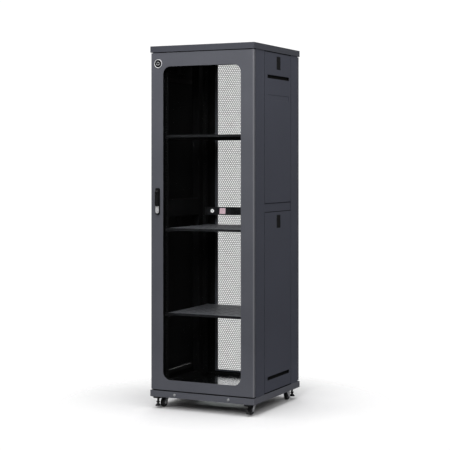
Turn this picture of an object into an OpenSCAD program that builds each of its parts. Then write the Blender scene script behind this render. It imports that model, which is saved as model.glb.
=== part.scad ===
// Floor-standing 19 inch rack cabinet: glazed front door, perforated rear door, four
// removable side panels, adjustable rack rails, castors and levelling feet.
// Origin: middle of the footprint, on the floor. -Y is the front, +X the right, +Z up.

/* [Cabinet] */
// Overall width of the base frame and the top cover
cabinet_w = 600; // [580:5:800]
// Overall depth of the base frame and the top cover
cabinet_d = 600; // [560:10:1000]
// Number of rack units between the floor panel and the roof
rack_units = 37; // [32:1:47]
// Height of the base frame's underside above the floor
ground_gap = 62; // [60:1:70]
// Height of the base frame
base_h = 32; // [28:1:60]
// Height of the top cover
cover_h = 32; // [30:1:60]
// Thickness of the folded sheet of covers, panels and doors
sheet_t = 1.5; // [1:0.1:2]
// Wall thickness of the welded frame sections
frame_t = 2; // [1.5:0.1:3]

/* [Frame] */
// Gap between the base frame and the first rack unit
unit_bottom_gap = 56; // [50:1:80]
// Gap between the last rack unit and the top cover
unit_top_gap = 68; // [60:1:90]
// Setback of the posts, doors and panels from the base frame's edge
skin_inset = 3; // [2:0.5:6]
// Depth of the front posts
front_post_d = 106; // [90:1:120]
// Depth of the rear posts
rear_post_d = 91; // [85:1:120]
// Height and depth of the header beam over each door opening
header_h = 26; // [20:1:40]
// Thickness of the flat sill between the feet of the posts
sill_t = 3; // [2:0.5:5]
// Flange width of the base frame's channel
base_flange = 50; // [48:1:60]
// Flange width of the top cover's return
cover_flange = 38; // [30:1:60]
// Thickness of the corner plates that carry castors and feet
corner_plate_t = 3; // [3:0.5:5]
// Diameter of the four floor fixing holes
floor_hole_d = 13; // [9:0.5:14]
// Inset of the floor fixing holes from the sides
floor_hole_inset_x = 91; // [90:1:96]
// Inset of the floor fixing holes from the front and rear
floor_hole_inset_y = 60; // [55:1:65]

/* [Rack rails] */
// Spacing of the two hole columns
rail_hole_spacing = 465.1; // [465.1]
// Clear opening between the rails
rail_opening = 450; // [450]
// Side of the square holes
square_hole = 9.5; // [9.3:0.1:9.7]
// Setback of the front rails' faces from the cabinet's front
front_rail_setback = 60; // [50:5:80]
// Setback of the rear rails' faces from the cabinet's rear
rear_rail_setback = 73; // [68:1:90]
// Depth of a rail's side web
rail_web_d = 42; // [30:1:42]

/* [Shelves and power strip] */
// Width over the ears of shelves and of the power strip
ear_w = 482.6; // [482.6]
// Rack unit that the lower shelf is fixed in
lower_shelf_unit = 8; // [4:1:10]
// Rack unit that the middle shelf is fixed in
middle_shelf_unit = 18; // [14:1:19]
// Rack unit that the upper shelf is fixed in
upper_shelf_unit = 29; // [24:1:31]
// Height of a shelf's top above its fixing holes
shelf_rise = 14.5; // [8:0.5:16]
// Height of a shelf's front lip
shelf_lip_h = 13; // [6:0.5:14]
// Rack unit that the power strip is fixed in
strip_unit = 20; // [20:1:22]
// Number of outlets in the power strip
outlet_count = 8; // [4:1:8]

/* [Doors] */
// Thickness of the doors
door_t = 20; // [18:1:24]
// Rounding of the doors' upright edges
door_edge_r = 8; // [6:0.5:9]
// Gap between the doors and the posts
door_gap = 4; // [3:0.5:6]
// Gap under the doors, above the base frame
door_bottom_gap = 6; // [5:0.5:8]
// Gap over the doors, below the top cover
door_top_gap = 4; // [3:0.5:6]
// Width of the front door's glazed opening
window_w = 448; // [380:1:460]
// Height of the front door's border under the window
window_sill_h = 53; // [45:1:90]
// Height of the front door's border over the window
window_head_h = 72; // [60:1:90]
// Corner radius of the window
window_r = 42; // [10:1:50]
// Thickness of the glass
glass_t = 5; // [4:0.5:6]
// Thickness of the seal between the glass and the door
seal_t = 2; // [1:0.5:3]
// Overlap of the glass behind the door's border
glass_lap = 12; // [8:1:14]
// Width of the rear door's perforated opening
mesh_w = 400; // [300:5:440]
// Height of the rear door's lower and upper borders
mesh_border = 24; // [22:1:60]
// Thickness of the perforated sheet
mesh_t = 1.2; // [1:0.1:2]
// Diameter of the badge
badge_d = 46; // [40:1:60]
// Depth of the badge's centre below the door's top
badge_drop = 56; // [45:1:80]
// Radius of the hinge pins
hinge_pin_r = 4; // [3:0.25:5]

/* [Handles] */
// Distance of the handle's centre line from the door's free edge
handle_inset = 43; // [36:1:44]
// Height of the handle's centre above the middle of the door
handle_rise = 105; // [-100:5:200]
// Width of the handle's housing
handle_w = 24; // [24:1:32]
// Length of the handle's housing
handle_len = 137; // [130:1:180]
// Thickness of the handle's housing
housing_t = 8; // [6:1:10]
// Thickness of the lever
lever_t = 10; // [8:1:12]
// Width of the lever
lever_w = 18; // [17:1:24]
// Radius of the handle's spindle
spindle_r = 8; // [7:0.5:8.5]
// Width of the lock's cover
lock_cover_w = 19; // [18:1:24]
// Height of the lock's cover
lock_cover_h = 37; // [30:1:50]

/* [Side panels] */
// Height of the crossbar's middle above the base frame
crossbar_rise = 958; // [800:10:1100]
// Height of the visible crossbar between the panels
crossbar_h = 48; // [40:1:60]
// Depth of a panel's folded edges
panel_d = 12; // [10:0.5:13]
// Gap between panels and posts
panel_gap = 3; // [2:0.5:5]
// Height of a panel's recessed vent
vent_h = 18; // [12:1:24]
// Inset of the vent from the panel's front edge
vent_front_inset = 36; // [25:1:60]
// Inset of the vent from the panel's rear edge
vent_rear_inset = 24; // [20:1:60]
// Distance of the vent's centre from the panel's outer end: top of the upper, bottom of the lower
upper_vent_drop = 127; // [115:1:180]
// Height of the lower panel's vent above its lower edge
lower_vent_rise = 69; // [40:1:100]
// Width of a latch slider
latch_w = 48; // [40:1:50]
// Height of a latch slider
latch_h = 58; // [50:1:60]
// Depth of the latch's centre below the panel's top
latch_drop = 47; // [44:1:54]
// Travel of the latch
latch_travel = 8; // [4:1:8]

/* [Castors and feet] */
// Radius of the castor wheels
wheel_r = 25; // [22:0.5:25.5]
// Width of the castor wheels
wheel_w = 18; // [14:1:19]
// Trail of the wheels behind their swivel axes
castor_trail = 22; // [15:1:23]
// Radius of the castor axles
castor_axle_r = 4; // [3:0.25:4]
// Inset of the castors' swivel axes from the sides
castor_inset_x = 48; // [48:1:52]
// Inset of the castors' swivel axes from the front and rear
castor_inset_y = 88; // [88:1:95]
// Inset of the feet from the sides
foot_inset_x = 38; // [30:1:40]
// Inset of the feet from the front and rear
foot_inset_y = 20; // [20:1:22]
// Radius of a foot's threaded stem
foot_stem_r = 6; // [5:0.5:6]
// Radius of a foot's pad
foot_pad_r = 15; // [12:1:16]
// Height of the raised feet above the floor
foot_lift = 12; // [5:1:15]

/* [Roof fans] */
// Side of the fans' frames
fan_side = 120; // [92:1:120]
// Depth of the fans' frames
fan_depth = 25; // [25]
// Distance of each fan's axis from the cabinet's middle
fan_offset = 75; // [70:1:110]
// Number of blades
fan_blades = 7; // [5:1:9]

/* [Clearances] */
// Radial running clearance of pins, shafts and spindles
run_clear = 0.05; // [0.02:0.01:0.1]
// Clearance between neighbouring pieces that move
move_clear = 0.4; // [0.3:0.05:0.6]

/* [Hidden] */
$fn = 48;
eps = 1;
unit_h = 44.45;
unit_hole_z = [6.35, 22.225, 38.1];

// Heights
base_z0 = ground_gap;
base_z1 = base_z0 + base_h;
unit1_z = base_z1 + unit_bottom_gap;
cover_z0 = unit1_z + rack_units * unit_h + unit_top_gap;
cover_z1 = cover_z0 + cover_h;
sill_z1 = base_z1 + sill_t;
header_z0 = cover_z0 - header_h;
rail_z0 = sill_z1 + 20;
rail_z1 = header_z0 - 10;
crossbar_z = base_z1 + crossbar_rise;

// Plan of the frame
skin_x = cabinet_w / 2 - skin_inset;
skin_y = cabinet_d / 2 - skin_inset;
door_back_y = skin_y - door_t;
post_y = door_back_y - door_gap;
front_post_back_y = -post_y + front_post_d;
rear_post_front_y = post_y - rear_post_d;
rail_hole_x = rail_hole_spacing / 2;
rail_flange_x = rail_opening / 2;
post_x = 256;
front_rail_y = -cabinet_d / 2 + front_rail_setback;
rear_rail_y = cabinet_d / 2 - rear_rail_setback;
rail_t = 2;
ear_t = 2;
shelf_ear_drop = 7;
base_sheet_t = 2;

// Depth rails
depth_rail_x = skin_x - panel_d - 2;
depth_rail_h = 34;
rail_under_panel_top = 30;
hat_x = skin_x - 2;
upper_panel_z0 = crossbar_z + crossbar_h / 2;
upper_panel_z1 = cover_z0 - door_top_gap;
lower_panel_z0 = base_z1 + door_bottom_gap;
lower_panel_z1 = crossbar_z - crossbar_h / 2;
mid_rail_z0 = lower_panel_z1 - rail_under_panel_top;
mid_rail_z1 = upper_panel_z0 + 14;
top_rail_z0 = upper_panel_z1 - rail_under_panel_top;
panel_y0 = front_post_back_y + panel_gap;
panel_y1 = rear_post_front_y - panel_gap;

// Shallow embossed band under the upper panels' vent
band_depth = 0.6;
band_inset = 6;
band_drop = 94;
band_h = 26;

// Latches, and the lugs that a panel stands on
latch_y = (panel_y0 + panel_y1) / 2 + 8;
latch_window_w = latch_w + 2;
latch_window_h = latch_h + latch_travel + 2;
latch_flange_lap = 4;
hook_w = 20;
hook_h = 8;
ledge_inset = 5;
ledge_rise = 6;
ledge_h = 4;
ledge_reach = 1.5;
latch_flange_x0 = skin_x - sheet_t - move_clear - 2.5;
lug_w = 20;
lug_inset = 40;
lug_r = 1.3;
lug_x = skin_x - 5;
upper_lug_drop = panel_gap - move_clear;
lower_lug_drop = door_bottom_gap - move_clear;

// Doors
door_w = 2 * skin_x;
door_z0 = base_z1 + door_bottom_gap;
door_z1 = cover_z0 - door_top_gap;
door_h = door_z1 - door_z0;
door_lip = 15;
hinge_x = skin_x - door_edge_r;
hinge_y = skin_y - door_edge_r;
hinge_block_h = 20;
hinge_block_r = door_edge_r - 1;
window_z0 = door_z0 + window_sill_h;
window_z1 = door_z1 - window_head_h;
mesh_z0 = door_z0 + mesh_border;
mesh_z1 = door_z1 - mesh_border;
mesh_lap = 12;
sheet_back_y = skin_y - sheet_t;

// Handles, drawn on the front door; the rear ones are turned half round
handle_x = -skin_x + handle_inset;
handle_z0 = (door_z0 + door_z1) / 2 + handle_rise - handle_len / 2;
spindle_z = handle_z0 + handle_len - 20;
housing_y = skin_y + housing_t;
lever_y0 = housing_y + 1;
lever_y1 = lever_y0 + lever_t;
lever_pin_y = (lever_y0 + lever_y1) / 2;
lever_pin_r = 2;
lock_cover_t = 3;
lock_cover_z0 = handle_z0 + 5;
lock_cover_z1 = lock_cover_z0 + lock_cover_h;
lock_cover_y = housing_y + lock_cover_t;
lock_z = lock_cover_z0 + lock_cover_w / 2 + 3;
barrel_r = 6;
lever_end_z = lock_cover_z1 + 3;
head_w = 9;
fork_gap = 10;
cam_y0 = skin_y - 14;
cam_t = 3;
cam_len = 30;
cam_w = 14;

// Castors and feet
castor_x = cabinet_w / 2 - castor_inset_x;
castor_y = cabinet_d / 2 - castor_inset_y;
foot_x = cabinet_w / 2 - foot_inset_x;
foot_y = cabinet_d / 2 - foot_inset_y;
castor_plate_t = 3;
castor_plate_w = 60;
castor_bolt_offset = 22;
castor_bolt_r = 3;
crown_z1 = base_z0 - castor_plate_t - move_clear;
crown_h = 5.5;
crown_z0 = crown_z1 - crown_h;
crown_r = 19.5;
kingpin_r = 5;
kingpin_head_r = 7.5;
kingpin_head_h = 3;
cheek_t = 2.5;
cheek_x = wheel_w / 2 + 2;
foot_plate_w = 40;
foot_plate_t = 8;
foot_stem_z1 = base_z1 - 12;
corner_plate_x = 105;
corner_plate_y = 135;
floor_hole_x = cabinet_w / 2 - floor_hole_inset_x;
floor_hole_y = cabinet_d / 2 - floor_hole_inset_y;

// Floor and roof openings
floor_entry_w = 260;
floor_entry_d = 100;
floor_entry_y = -90;
floor_entry_r = 10;
floor_panel_gap = 2;
roof_entry_w = 300;
roof_entry_d = 60;
roof_entry_y = cabinet_d / 2 - 110;

// Screws
screw_r = 2.95;
nut_bore_r = 3;
nut_w = 12;
nut_h = 11;
nut_t = 5;
nut_fit = 0.1;
ear_hole_r = 3.5;
screw_head_r = 6;
screw_head_h = 3.5;
screw_len = 16;
plinth_screw_x = 155;
plinth_screw_z = base_z0 + base_h / 2;
plinth_screw_r = 4;
plinth_head_r = 7;
plinth_head_h = 4;
plinth_screw_len = 12;

// Power strip
strip_z = unit1_z + (strip_unit - 1) * unit_h + unit_h / 2;
strip_h = 43.7;
strip_body_w = 440;
strip_body_h = 40;
strip_body_d = 41;
strip_face_y = rear_rail_y - ear_t;
reset_x = -195;
reset_r = 5;
reset_ring_r = 9;
reset_travel = 3;
reset_collar_rise = 2;
reset_collar_depth = 10;
switch_x = -132;
switch_w = 36;
switch_h = 36;
switch_face = 7;
switch_pivot_y = strip_face_y + switch_face - 2;
switch_pin_r = 1.5;
switch_tilt = 8;
switch_well_d = 22;
switch_well_wall = 2;
outlet_pitch = 36;
outlet_w = 30;
outlet_h = 34;
outlet_x0 = -78;
outlet_face = 1;
outlet_depth = 17;
outlet_well_w = 24;
outlet_well_h = 18;
outlet_well_d = 14;
pin_slot_h = 6;

// Fans
fan_z1 = cover_z1 - sheet_t;
fan_z0 = fan_z1 - fan_depth;
fan_bore_r = fan_side / 2 - 3;
fan_hub_r = fan_side * 0.15;
fan_shaft_r = 2;

// A box given by its lowest and highest corners
module box(low, high) {
    translate(low) cube(high - low);
}

// A rounded rectangle centred on the origin
module rounded_rect(w, h, r) {
    square([w - 2 * r, h], center = true);
    square([w, h - 2 * r], center = true);
    for (x = [-1, 1], y = [-1, 1])
        translate([x * (w / 2 - r), y * (h / 2 - r)]) circle(r);
}

// Stands a drawing of X and Z up as a plate from y to y + t
module plate_xz(y, t) {
    translate([0, y + t, 0]) rotate([90, 0, 0]) linear_extrude(t) children();
}

// Stands a drawing of Y and Z up as a plate from x to x + t
module plate_yz(x, t) {
    translate([x, 0, 0]) rotate([90, 0, 90]) linear_extrude(t) children();
}

// A cylinder along Y from y0 to y1
module rod_y(x, z, y0, y1, r) {
    translate([x, y1, z]) rotate([90, 0, 0]) cylinder(h = y1 - y0, r = r);
}

// A cylinder along X from x0 to x1
module rod_x(y, z, x0, x1, r) {
    translate([x0, y, z]) rotate([0, 90, 0]) cylinder(h = x1 - x0, r = r);
}

// Copies to the four corners, mirrored so that each faces outwards
module at_corners() {
    for (x = [0, 1], y = [0, 1])
        mirror([x, 0, 0]) mirror([0, y, 0]) children();
}

// ---------------------------------------------------------------- frame

// Welded ring of channel, open inwards, with a drilled plate in each corner
module base_frame() {
    color([0.30, 0.30, 0.33]) difference() {
        union() {
            difference() {
                translate([0, 0, base_z0]) linear_extrude(base_h)
                    rounded_rect(cabinet_w, cabinet_d, 4);
                box([-cabinet_w / 2 + base_sheet_t, -cabinet_d / 2 + base_sheet_t,
                        base_z0 + base_sheet_t],
                    [cabinet_w / 2 - base_sheet_t, cabinet_d / 2 - base_sheet_t,
                        base_z1 - base_sheet_t]);
                box([-cabinet_w / 2 + base_flange, -cabinet_d / 2 + base_flange, base_z0 - eps],
                    [cabinet_w / 2 - base_flange, cabinet_d / 2 - base_flange, base_z1 + eps]);
            }
            at_corners()
                box([cabinet_w / 2 - corner_plate_x, cabinet_d / 2 - corner_plate_y, base_z0],
                    [cabinet_w / 2 - base_sheet_t, cabinet_d / 2 - base_sheet_t,
                        base_z0 + corner_plate_t]);
        }
        at_corners() {
            translate([foot_x, foot_y, base_z0 - eps])
                cylinder(h = corner_plate_t + 2 * eps, r = foot_stem_r + 0.5);
            translate([floor_hole_x, floor_hole_y, base_z0 - eps])
                cylinder(h = corner_plate_t + 2 * eps, r = floor_hole_d / 2);
            for (x = [-1, 1], y = [-1, 1])
                translate([castor_x + x * castor_bolt_offset, castor_y + y * castor_bolt_offset,
                        base_z0 - eps])
                    cylinder(h = corner_plate_t + 2 * eps, r = castor_bolt_r);
            rod_y(plinth_screw_x, plinth_screw_z, cabinet_d / 2 - base_sheet_t - eps,
                cabinet_d / 2 + eps, plinth_screw_r);
        }
        half_turned() translate([hinge_x, -hinge_y, base_z1 - base_sheet_t - eps])
            cylinder(h = base_sheet_t + 2 * eps, r = hinge_pin_r);
    }
}

// A piece of the front door and its twin on the rear door
module half_turned() {
    for (turn = [0, 180])
        rotate([0, 0, turn]) children();
}

// Galvanised floor sheet with a cable entry
module floor_panel() {
    color([0.78, 0.79, 0.80]) translate([0, 0, sill_z1]) linear_extrude(sheet_t) difference() {
        square([2 * (post_x - floor_panel_gap), 2 * (post_y - floor_panel_gap)], center = true);
        translate([0, floor_entry_y]) rounded_rect(floor_entry_w, floor_entry_d, floor_entry_r);
    }
}

// Two posts, a header and a sill, welded into one ring; y0 is the lower Y
module end_frame(y0, y1, header_y0) {
    for (side = [0, 1])
        mirror([side, 0, 0]) translate([0, 0, base_z1]) linear_extrude(cover_z0 - base_z1)
            difference() {
                translate([post_x, y0]) square([skin_x - post_x, y1 - y0]);
                translate([post_x + frame_t, y0 + frame_t])
                    square([skin_x - post_x - 2 * frame_t, y1 - y0 - 2 * frame_t]);
            }
    difference() {
        box([-post_x, header_y0, header_z0], [post_x, header_y0 + header_h, cover_z0]);
        box([-post_x - eps, header_y0 + frame_t, header_z0 + frame_t],
            [post_x + eps, header_y0 + header_h - frame_t, cover_z0 - frame_t]);
    }
    box([-post_x, y0, base_z1], [post_x, y1, sill_z1]);
}

module front_frame() {
    color([0.26, 0.26, 0.29]) end_frame(-post_y, front_post_back_y, -post_y);
}

module rear_frame() {
    color([0.26, 0.26, 0.29]) end_frame(rear_post_front_y, post_y, post_y - header_h);
}

// Inverted channel of the right side, from one post to the other
module depth_channel(z0, z1) {
    difference() {
        translate([post_x, z0]) square([depth_rail_x - post_x, z1 - z0]);
        translate([post_x + frame_t, z0 - eps])
            square([depth_rail_x - post_x - 2 * frame_t, z1 - z0 - frame_t + eps]);
    }
}

// Three depth rails a side; the middle one has the crossbar seen between the panels
module depth_rails() {
    color([0.24, 0.24, 0.27]) for (side = [0, 1])
        mirror([side, 0, 0]) plate_xz(front_post_back_y, rear_post_front_y - front_post_back_y) {
            depth_channel(base_z1, base_z1 + depth_rail_h);
            depth_channel(top_rail_z0, cover_z0);
            depth_channel(mid_rail_z0, mid_rail_z1);
            difference() {
                translate([depth_rail_x - eps, lower_panel_z1 + panel_gap])
                    square([hat_x - depth_rail_x + eps, crossbar_h - 2 * panel_gap]);
                translate([depth_rail_x, lower_panel_z1 + panel_gap + frame_t])
                    square([hat_x - depth_rail_x - frame_t,
                        crossbar_h - 2 * panel_gap - 2 * frame_t]);
            }
        }
}

// Folded roof tray with fan grilles and a cable entry
module top_cover() {
    color([0.28, 0.28, 0.31]) difference() {
        translate([0, 0, cover_z0]) linear_extrude(cover_h) rounded_rect(cabinet_w, cabinet_d, 4);
        box([-cabinet_w / 2 + sheet_t, -cabinet_d / 2 + sheet_t, cover_z0 + sheet_t],
            [cabinet_w / 2 - sheet_t, cabinet_d / 2 - sheet_t, cover_z1 - sheet_t]);
        box([-cabinet_w / 2 + cover_flange, -cabinet_d / 2 + cover_flange, cover_z0 - eps],
            [cabinet_w / 2 - cover_flange, cabinet_d / 2 - cover_flange, cover_z0 + 2 * sheet_t]);
        for (side = [-1, 1])
            translate([side * fan_offset, 0, cover_z1 - sheet_t - eps])
                linear_extrude(sheet_t + 2 * eps) fan_grille();
        translate([0, roof_entry_y, cover_z1 - sheet_t - eps])
            linear_extrude(sheet_t + 2 * eps) rounded_rect(roof_entry_w, roof_entry_d, 8);
        half_turned() translate([hinge_x, -hinge_y, cover_z0 - eps])
            cylinder(h = sheet_t + 2 * eps, r = hinge_pin_r);
    }
}

// Parallel slots inside the circle of a fan
module fan_grille() {
    slot_pitch = 10;
    slot_w = 5.5;
    slot_rows = floor((fan_bore_r - 6) / slot_pitch);
    for (row = [-slot_rows : slot_rows]) {
        half_len = sqrt(pow(fan_bore_r - 2, 2) - pow(row * slot_pitch, 2));
        translate([0, row * slot_pitch]) rounded_rect(2 * half_len, slot_w, slot_w / 2 - 0.01);
    }
}

// ---------------------------------------------------------------- rack rails, shelves

// Front left rail: a flange with three square holes a unit, and a web against the post
module rack_rail(face_y, web_y1) {
    plate_xz(face_y, rail_t) difference() {
        translate([rail_flange_x, rail_z0]) square([post_x - rail_flange_x, rail_z1 - rail_z0]);
        for (unit = [0 : rack_units - 1], hole = unit_hole_z)
            translate([rail_hole_x, unit1_z + unit * unit_h + hole])
                square(square_hole, center = true);
    }
    box([post_x - rail_t, min(face_y, web_y1), rail_z0],
        [post_x, max(face_y + rail_t, web_y1), rail_z1]);
}

module front_rail() {
    color([0.13, 0.13, 0.14]) rack_rail(front_rail_y, front_rail_y + rail_web_d);
}

module rear_rail() {
    color([0.13, 0.13, 0.14]) rack_rail(rear_rail_y, rear_rail_y + rail_web_d);
}

module rack_rail_front_left() {
    mirror([1, 0, 0]) front_rail();
}

module rack_rail_front_right() {
    front_rail();
}

module rack_rail_rear_left() {
    mirror([1, 0, 0]) rear_rail();
}

module rack_rail_rear_right() {
    rear_rail();
}

// Height of the middle hole of a unit, where a shelf's ears are screwed
function shelf_z(unit) = unit1_z + (unit - 1) * unit_h + unit_hole_z[1];

// Folded shelf, vented, with ears on the front and the rear rails
module shelf(unit) {
    half_w = rail_flange_x - 3;
    slot_pitch_x = 55;
    slot_pitch_y = 60;
    slot_len = 40;
    slot_w = 7;
    slot_margin = 70;
    y0 = front_rail_y - ear_t;
    y1 = rear_rail_y;
    z0 = shelf_z(unit) - shelf_ear_drop;
    z1 = shelf_z(unit) + shelf_rise;
    slot_rows = floor((y1 - y0 - slot_margin - 10) / slot_pitch_y);
    color([0.42, 0.42, 0.45]) difference() {
        union() {
            box([-half_w, y0, z0], [half_w, y1, z1]);
            box([-ear_w / 2, y0, z0], [ear_w / 2, y0 + ear_t, z1]);
            box([-ear_w / 2, y1 - ear_t, z0], [ear_w / 2, y1, z1]);
        }
        box([-half_w + sheet_t, y0 + ear_t, z0 - eps],
            [half_w - sheet_t, y1 - ear_t, z1 - sheet_t]);
        box([-half_w + sheet_t, y0 - eps, z0 - eps],
            [half_w - sheet_t, y0 + ear_t + eps, z1 - shelf_lip_h]);
        for (x = [-3 : 3], row = [0 : slot_rows - 1])
            translate([x * slot_pitch_x, y0 + slot_margin + row * slot_pitch_y, z1 - 2 * sheet_t])
                linear_extrude(3 * sheet_t) rounded_rect(slot_len, slot_w, slot_w / 2 - 0.1);
        for (x = [-1, 1], y = [y0, y1 - ear_t])
            rod_y(x * rail_hole_x, shelf_z(unit), y - eps, y + ear_t + eps, ear_hole_r);
    }
}

module shelf_upper() {
    shelf(upper_shelf_unit);
}

module shelf_middle() {
    shelf(middle_shelf_unit);
}

module shelf_lower() {
    shelf(lower_shelf_unit);
}

// Every screwed place on the rails: X, Y of the ear's outer face, Z
function shelf_screws(unit) = [for (x = [-1, 1], y = [front_rail_y - ear_t, rear_rail_y - ear_t])
    [x * rail_hole_x, y, shelf_z(unit)]];
function strip_screws() = [for (x = [-1, 1], z = [-1, 1])
    [x * rail_hole_x, strip_face_y, strip_z + z * (unit_h / 2 - unit_hole_z[0])]];
function rail_screws() = concat(shelf_screws(lower_shelf_unit), shelf_screws(middle_shelf_unit),
    shelf_screws(upper_shelf_unit), strip_screws());

// A cross-recessed screw, its head towards -Y and its underside at the origin
module pan_screw(r, head_r, head_h, len) {
    difference() {
        union() {
            rod_y(0, 0, -head_h * 0.6, 0, head_r);
            rotate([90, 0, 0]) translate([0, 0, head_h * 0.6])
                cylinder(h = head_h * 0.4, r1 = head_r, r2 = head_r * 0.75);
            rod_y(0, 0, -0.5, len, r);
        }
        for (turn = [0, 90])
            rotate([0, turn, 0])
                box([-head_r * 0.5, -head_h - eps, -0.5], [head_r * 0.5, -head_h * 0.45, 0.5]);
    }
}

module screws() {
    color([0.75, 0.75, 0.72]) {
        for (place = rail_screws())
            translate(place) pan_screw(screw_r, screw_head_r, screw_head_h, screw_len);
        half_turned() for (x = [-1, 1])
            translate([x * plinth_screw_x, -cabinet_d / 2, plinth_screw_z])
                pan_screw(plinth_screw_r, plinth_head_r, plinth_head_h, plinth_screw_len);
    }
}

// Square nut in a spring cage, behind the rail's flange
module cage_nuts() {
    color([0.60, 0.60, 0.58]) for (place = rail_screws())
        translate(place + [0, ear_t, 0]) difference() {
            union() {
                box([-square_hole / 2 + nut_fit, 0, -square_hole / 2 + nut_fit],
                    [square_hole / 2 - nut_fit, rail_t, square_hole / 2 - nut_fit]);
                box([-nut_w / 2, rail_t, -nut_h / 2], [nut_w / 2, rail_t + nut_t, nut_h / 2]);
            }
            rod_y(0, 0, -eps, rail_t + nut_t + eps, nut_bore_r);
        }
}

// ---------------------------------------------------------------- power strip

module strip_body() {
    inner = sheet_t;
    color([0.22, 0.22, 0.24]) difference() {
        union() {
            box([-ear_w / 2, strip_face_y, strip_z - strip_h / 2],
                [ear_w / 2, strip_face_y + ear_t, strip_z + strip_h / 2]);
            difference() {
                box([-strip_body_w / 2, strip_face_y, strip_z - strip_body_h / 2],
                    [strip_body_w / 2, strip_face_y + ear_t + strip_body_d,
                        strip_z + strip_body_h / 2]);
                box([-strip_body_w / 2 + inner, strip_face_y + ear_t,
                        strip_z - strip_body_h / 2 + inner],
                    [strip_body_w / 2 - inner, strip_face_y + ear_t + strip_body_d - inner,
                        strip_z + strip_body_h / 2 - inner]);
            }
            // well of the switch
            box([switch_x - switch_w / 2 - switch_well_wall, strip_face_y,
                    strip_z - switch_h / 2 - switch_well_wall],
                [switch_x + switch_w / 2 + switch_well_wall,
                    strip_face_y + switch_well_d + switch_well_wall,
                    strip_z + switch_h / 2 + switch_well_wall]);
            // raised collar of the reset button
            rod_y(reset_x, strip_z, strip_face_y - reset_collar_rise,
                strip_face_y + reset_collar_depth, reset_ring_r);
        }
        box([switch_x - switch_w / 2, strip_face_y - eps, strip_z - switch_h / 2],
            [switch_x + switch_w / 2, strip_face_y + switch_well_d, strip_z + switch_h / 2]);
        rod_x(switch_pivot_y, strip_z, switch_x - switch_w / 2 - 1, switch_x + switch_w / 2 + 1,
            switch_pin_r);
        rod_y(reset_x, strip_z, strip_face_y - reset_collar_rise - eps,
            strip_face_y + reset_collar_depth - 1, reset_r + move_clear);
        for (i = [0 : outlet_count - 1])
            box([outlet_x0 + i * outlet_pitch, strip_face_y - eps, strip_z - outlet_h / 2],
                [outlet_x0 + i * outlet_pitch + outlet_w, strip_face_y + ear_t + eps,
                    strip_z + outlet_h / 2]);
        for (place = strip_screws())
            translate(place) rod_y(0, 0, -eps, ear_t + eps, ear_hole_r);
    }
    color([0.6, 0.6, 0.6]) rod_x(switch_pivot_y, strip_z, switch_x - switch_w / 2 - 1,
        switch_x + switch_w / 2 + 1, switch_pin_r);
}

// Recessed outlets with three pin slots each
module strip_outlets() {
    color([0.08, 0.08, 0.08]) for (i = [0 : outlet_count - 1])
        translate([outlet_x0 + outlet_w / 2 + i * outlet_pitch, strip_face_y, strip_z])
            difference() {
                box([-outlet_w / 2, -outlet_face, -outlet_h / 2],
                    [outlet_w / 2, outlet_depth, outlet_h / 2]);
                difference() {
                    box([-outlet_well_w / 2, -outlet_face - eps, -outlet_well_h / 2],
                        [outlet_well_w / 2, outlet_well_d, outlet_well_h / 2]);
                    box([-outlet_well_w / 2 + 1, -outlet_face - 2 * eps, -outlet_well_h / 2 + 1],
                        [outlet_well_w / 2 - 1, outlet_well_d + eps, outlet_well_h / 2 - 1]);
                }
                for (pin = [[-7, -2], [0, 0], [7, -2]])
                    box([pin[0] - 1, -outlet_face - eps, pin[1] - pin_slot_h / 2],
                        [pin[0] + 1, outlet_well_d - 2, pin[1] + pin_slot_h / 2]);
            }
}

module strip_reset_button() {
    color([0.92, 0.92, 0.92])
        rod_y(reset_x, strip_z, strip_face_y - reset_collar_rise - 2,
            strip_face_y + reset_collar_depth - 2 - reset_travel, reset_r);
}

// Rocker on a pin, shown pressed at its top
module strip_switch() {
    half_w = switch_w / 2 - 0.5;
    half_h = sqrt(pow(switch_h / 2 - move_clear, 2) - pow(switch_face, 2));
    color([0.75, 0.15, 0.15]) translate([0, switch_pivot_y, strip_z]) rotate([-switch_tilt, 0, 0])
        difference() {
            plate_yz(switch_x - half_w, 2 * half_w)
                polygon([[-switch_face, half_h], [-switch_face + 1.6, 0],
                    [-switch_face, -half_h], [-3, -half_h + 1], [5, -5], [5, 5],
                    [-3, half_h - 1]]);
            rod_x(0, 0, switch_x - half_w - eps, switch_x + half_w + eps,
                switch_pin_r + run_clear);
        }
}

// ---------------------------------------------------------------- castors and feet

// Four bolted castor plates with their kingpins
module castor_plates() {
    color([0.62, 0.63, 0.65]) at_corners() translate([castor_x, castor_y, 0]) {
        difference() {
            union() {
                translate([0, 0, base_z0 - castor_plate_t]) linear_extrude(castor_plate_t)
                    rounded_rect(castor_plate_w, castor_plate_w, 6);
                translate([0, 0, crown_z0 - move_clear - kingpin_head_h])
                    cylinder(h = base_z0 - crown_z0 + move_clear + kingpin_head_h - 1,
                        r = kingpin_r);
                translate([0, 0, crown_z0 - move_clear - kingpin_head_h])
                    cylinder(h = kingpin_head_h, r = kingpin_head_r);
            }
            for (x = [-1, 1], y = [-1, 1])
                translate([x * castor_bolt_offset, y * castor_bolt_offset,
                        base_z0 - castor_plate_t - eps])
                    cylinder(h = castor_plate_t + 2 * eps, r = castor_bolt_r);
        }
        for (x = [-1, 1], y = [-1, 1])
            translate([x * castor_bolt_offset, y * castor_bolt_offset, 0]) {
                translate([0, 0, base_z0 - castor_plate_t - 4]) cylinder(h = 4, r = 5, $fn = 6);
                translate([0, 0, base_z0 - castor_plate_t])
                    cylinder(h = castor_plate_t + corner_plate_t + 8, r = castor_bolt_r);
            }
    }
}

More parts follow.
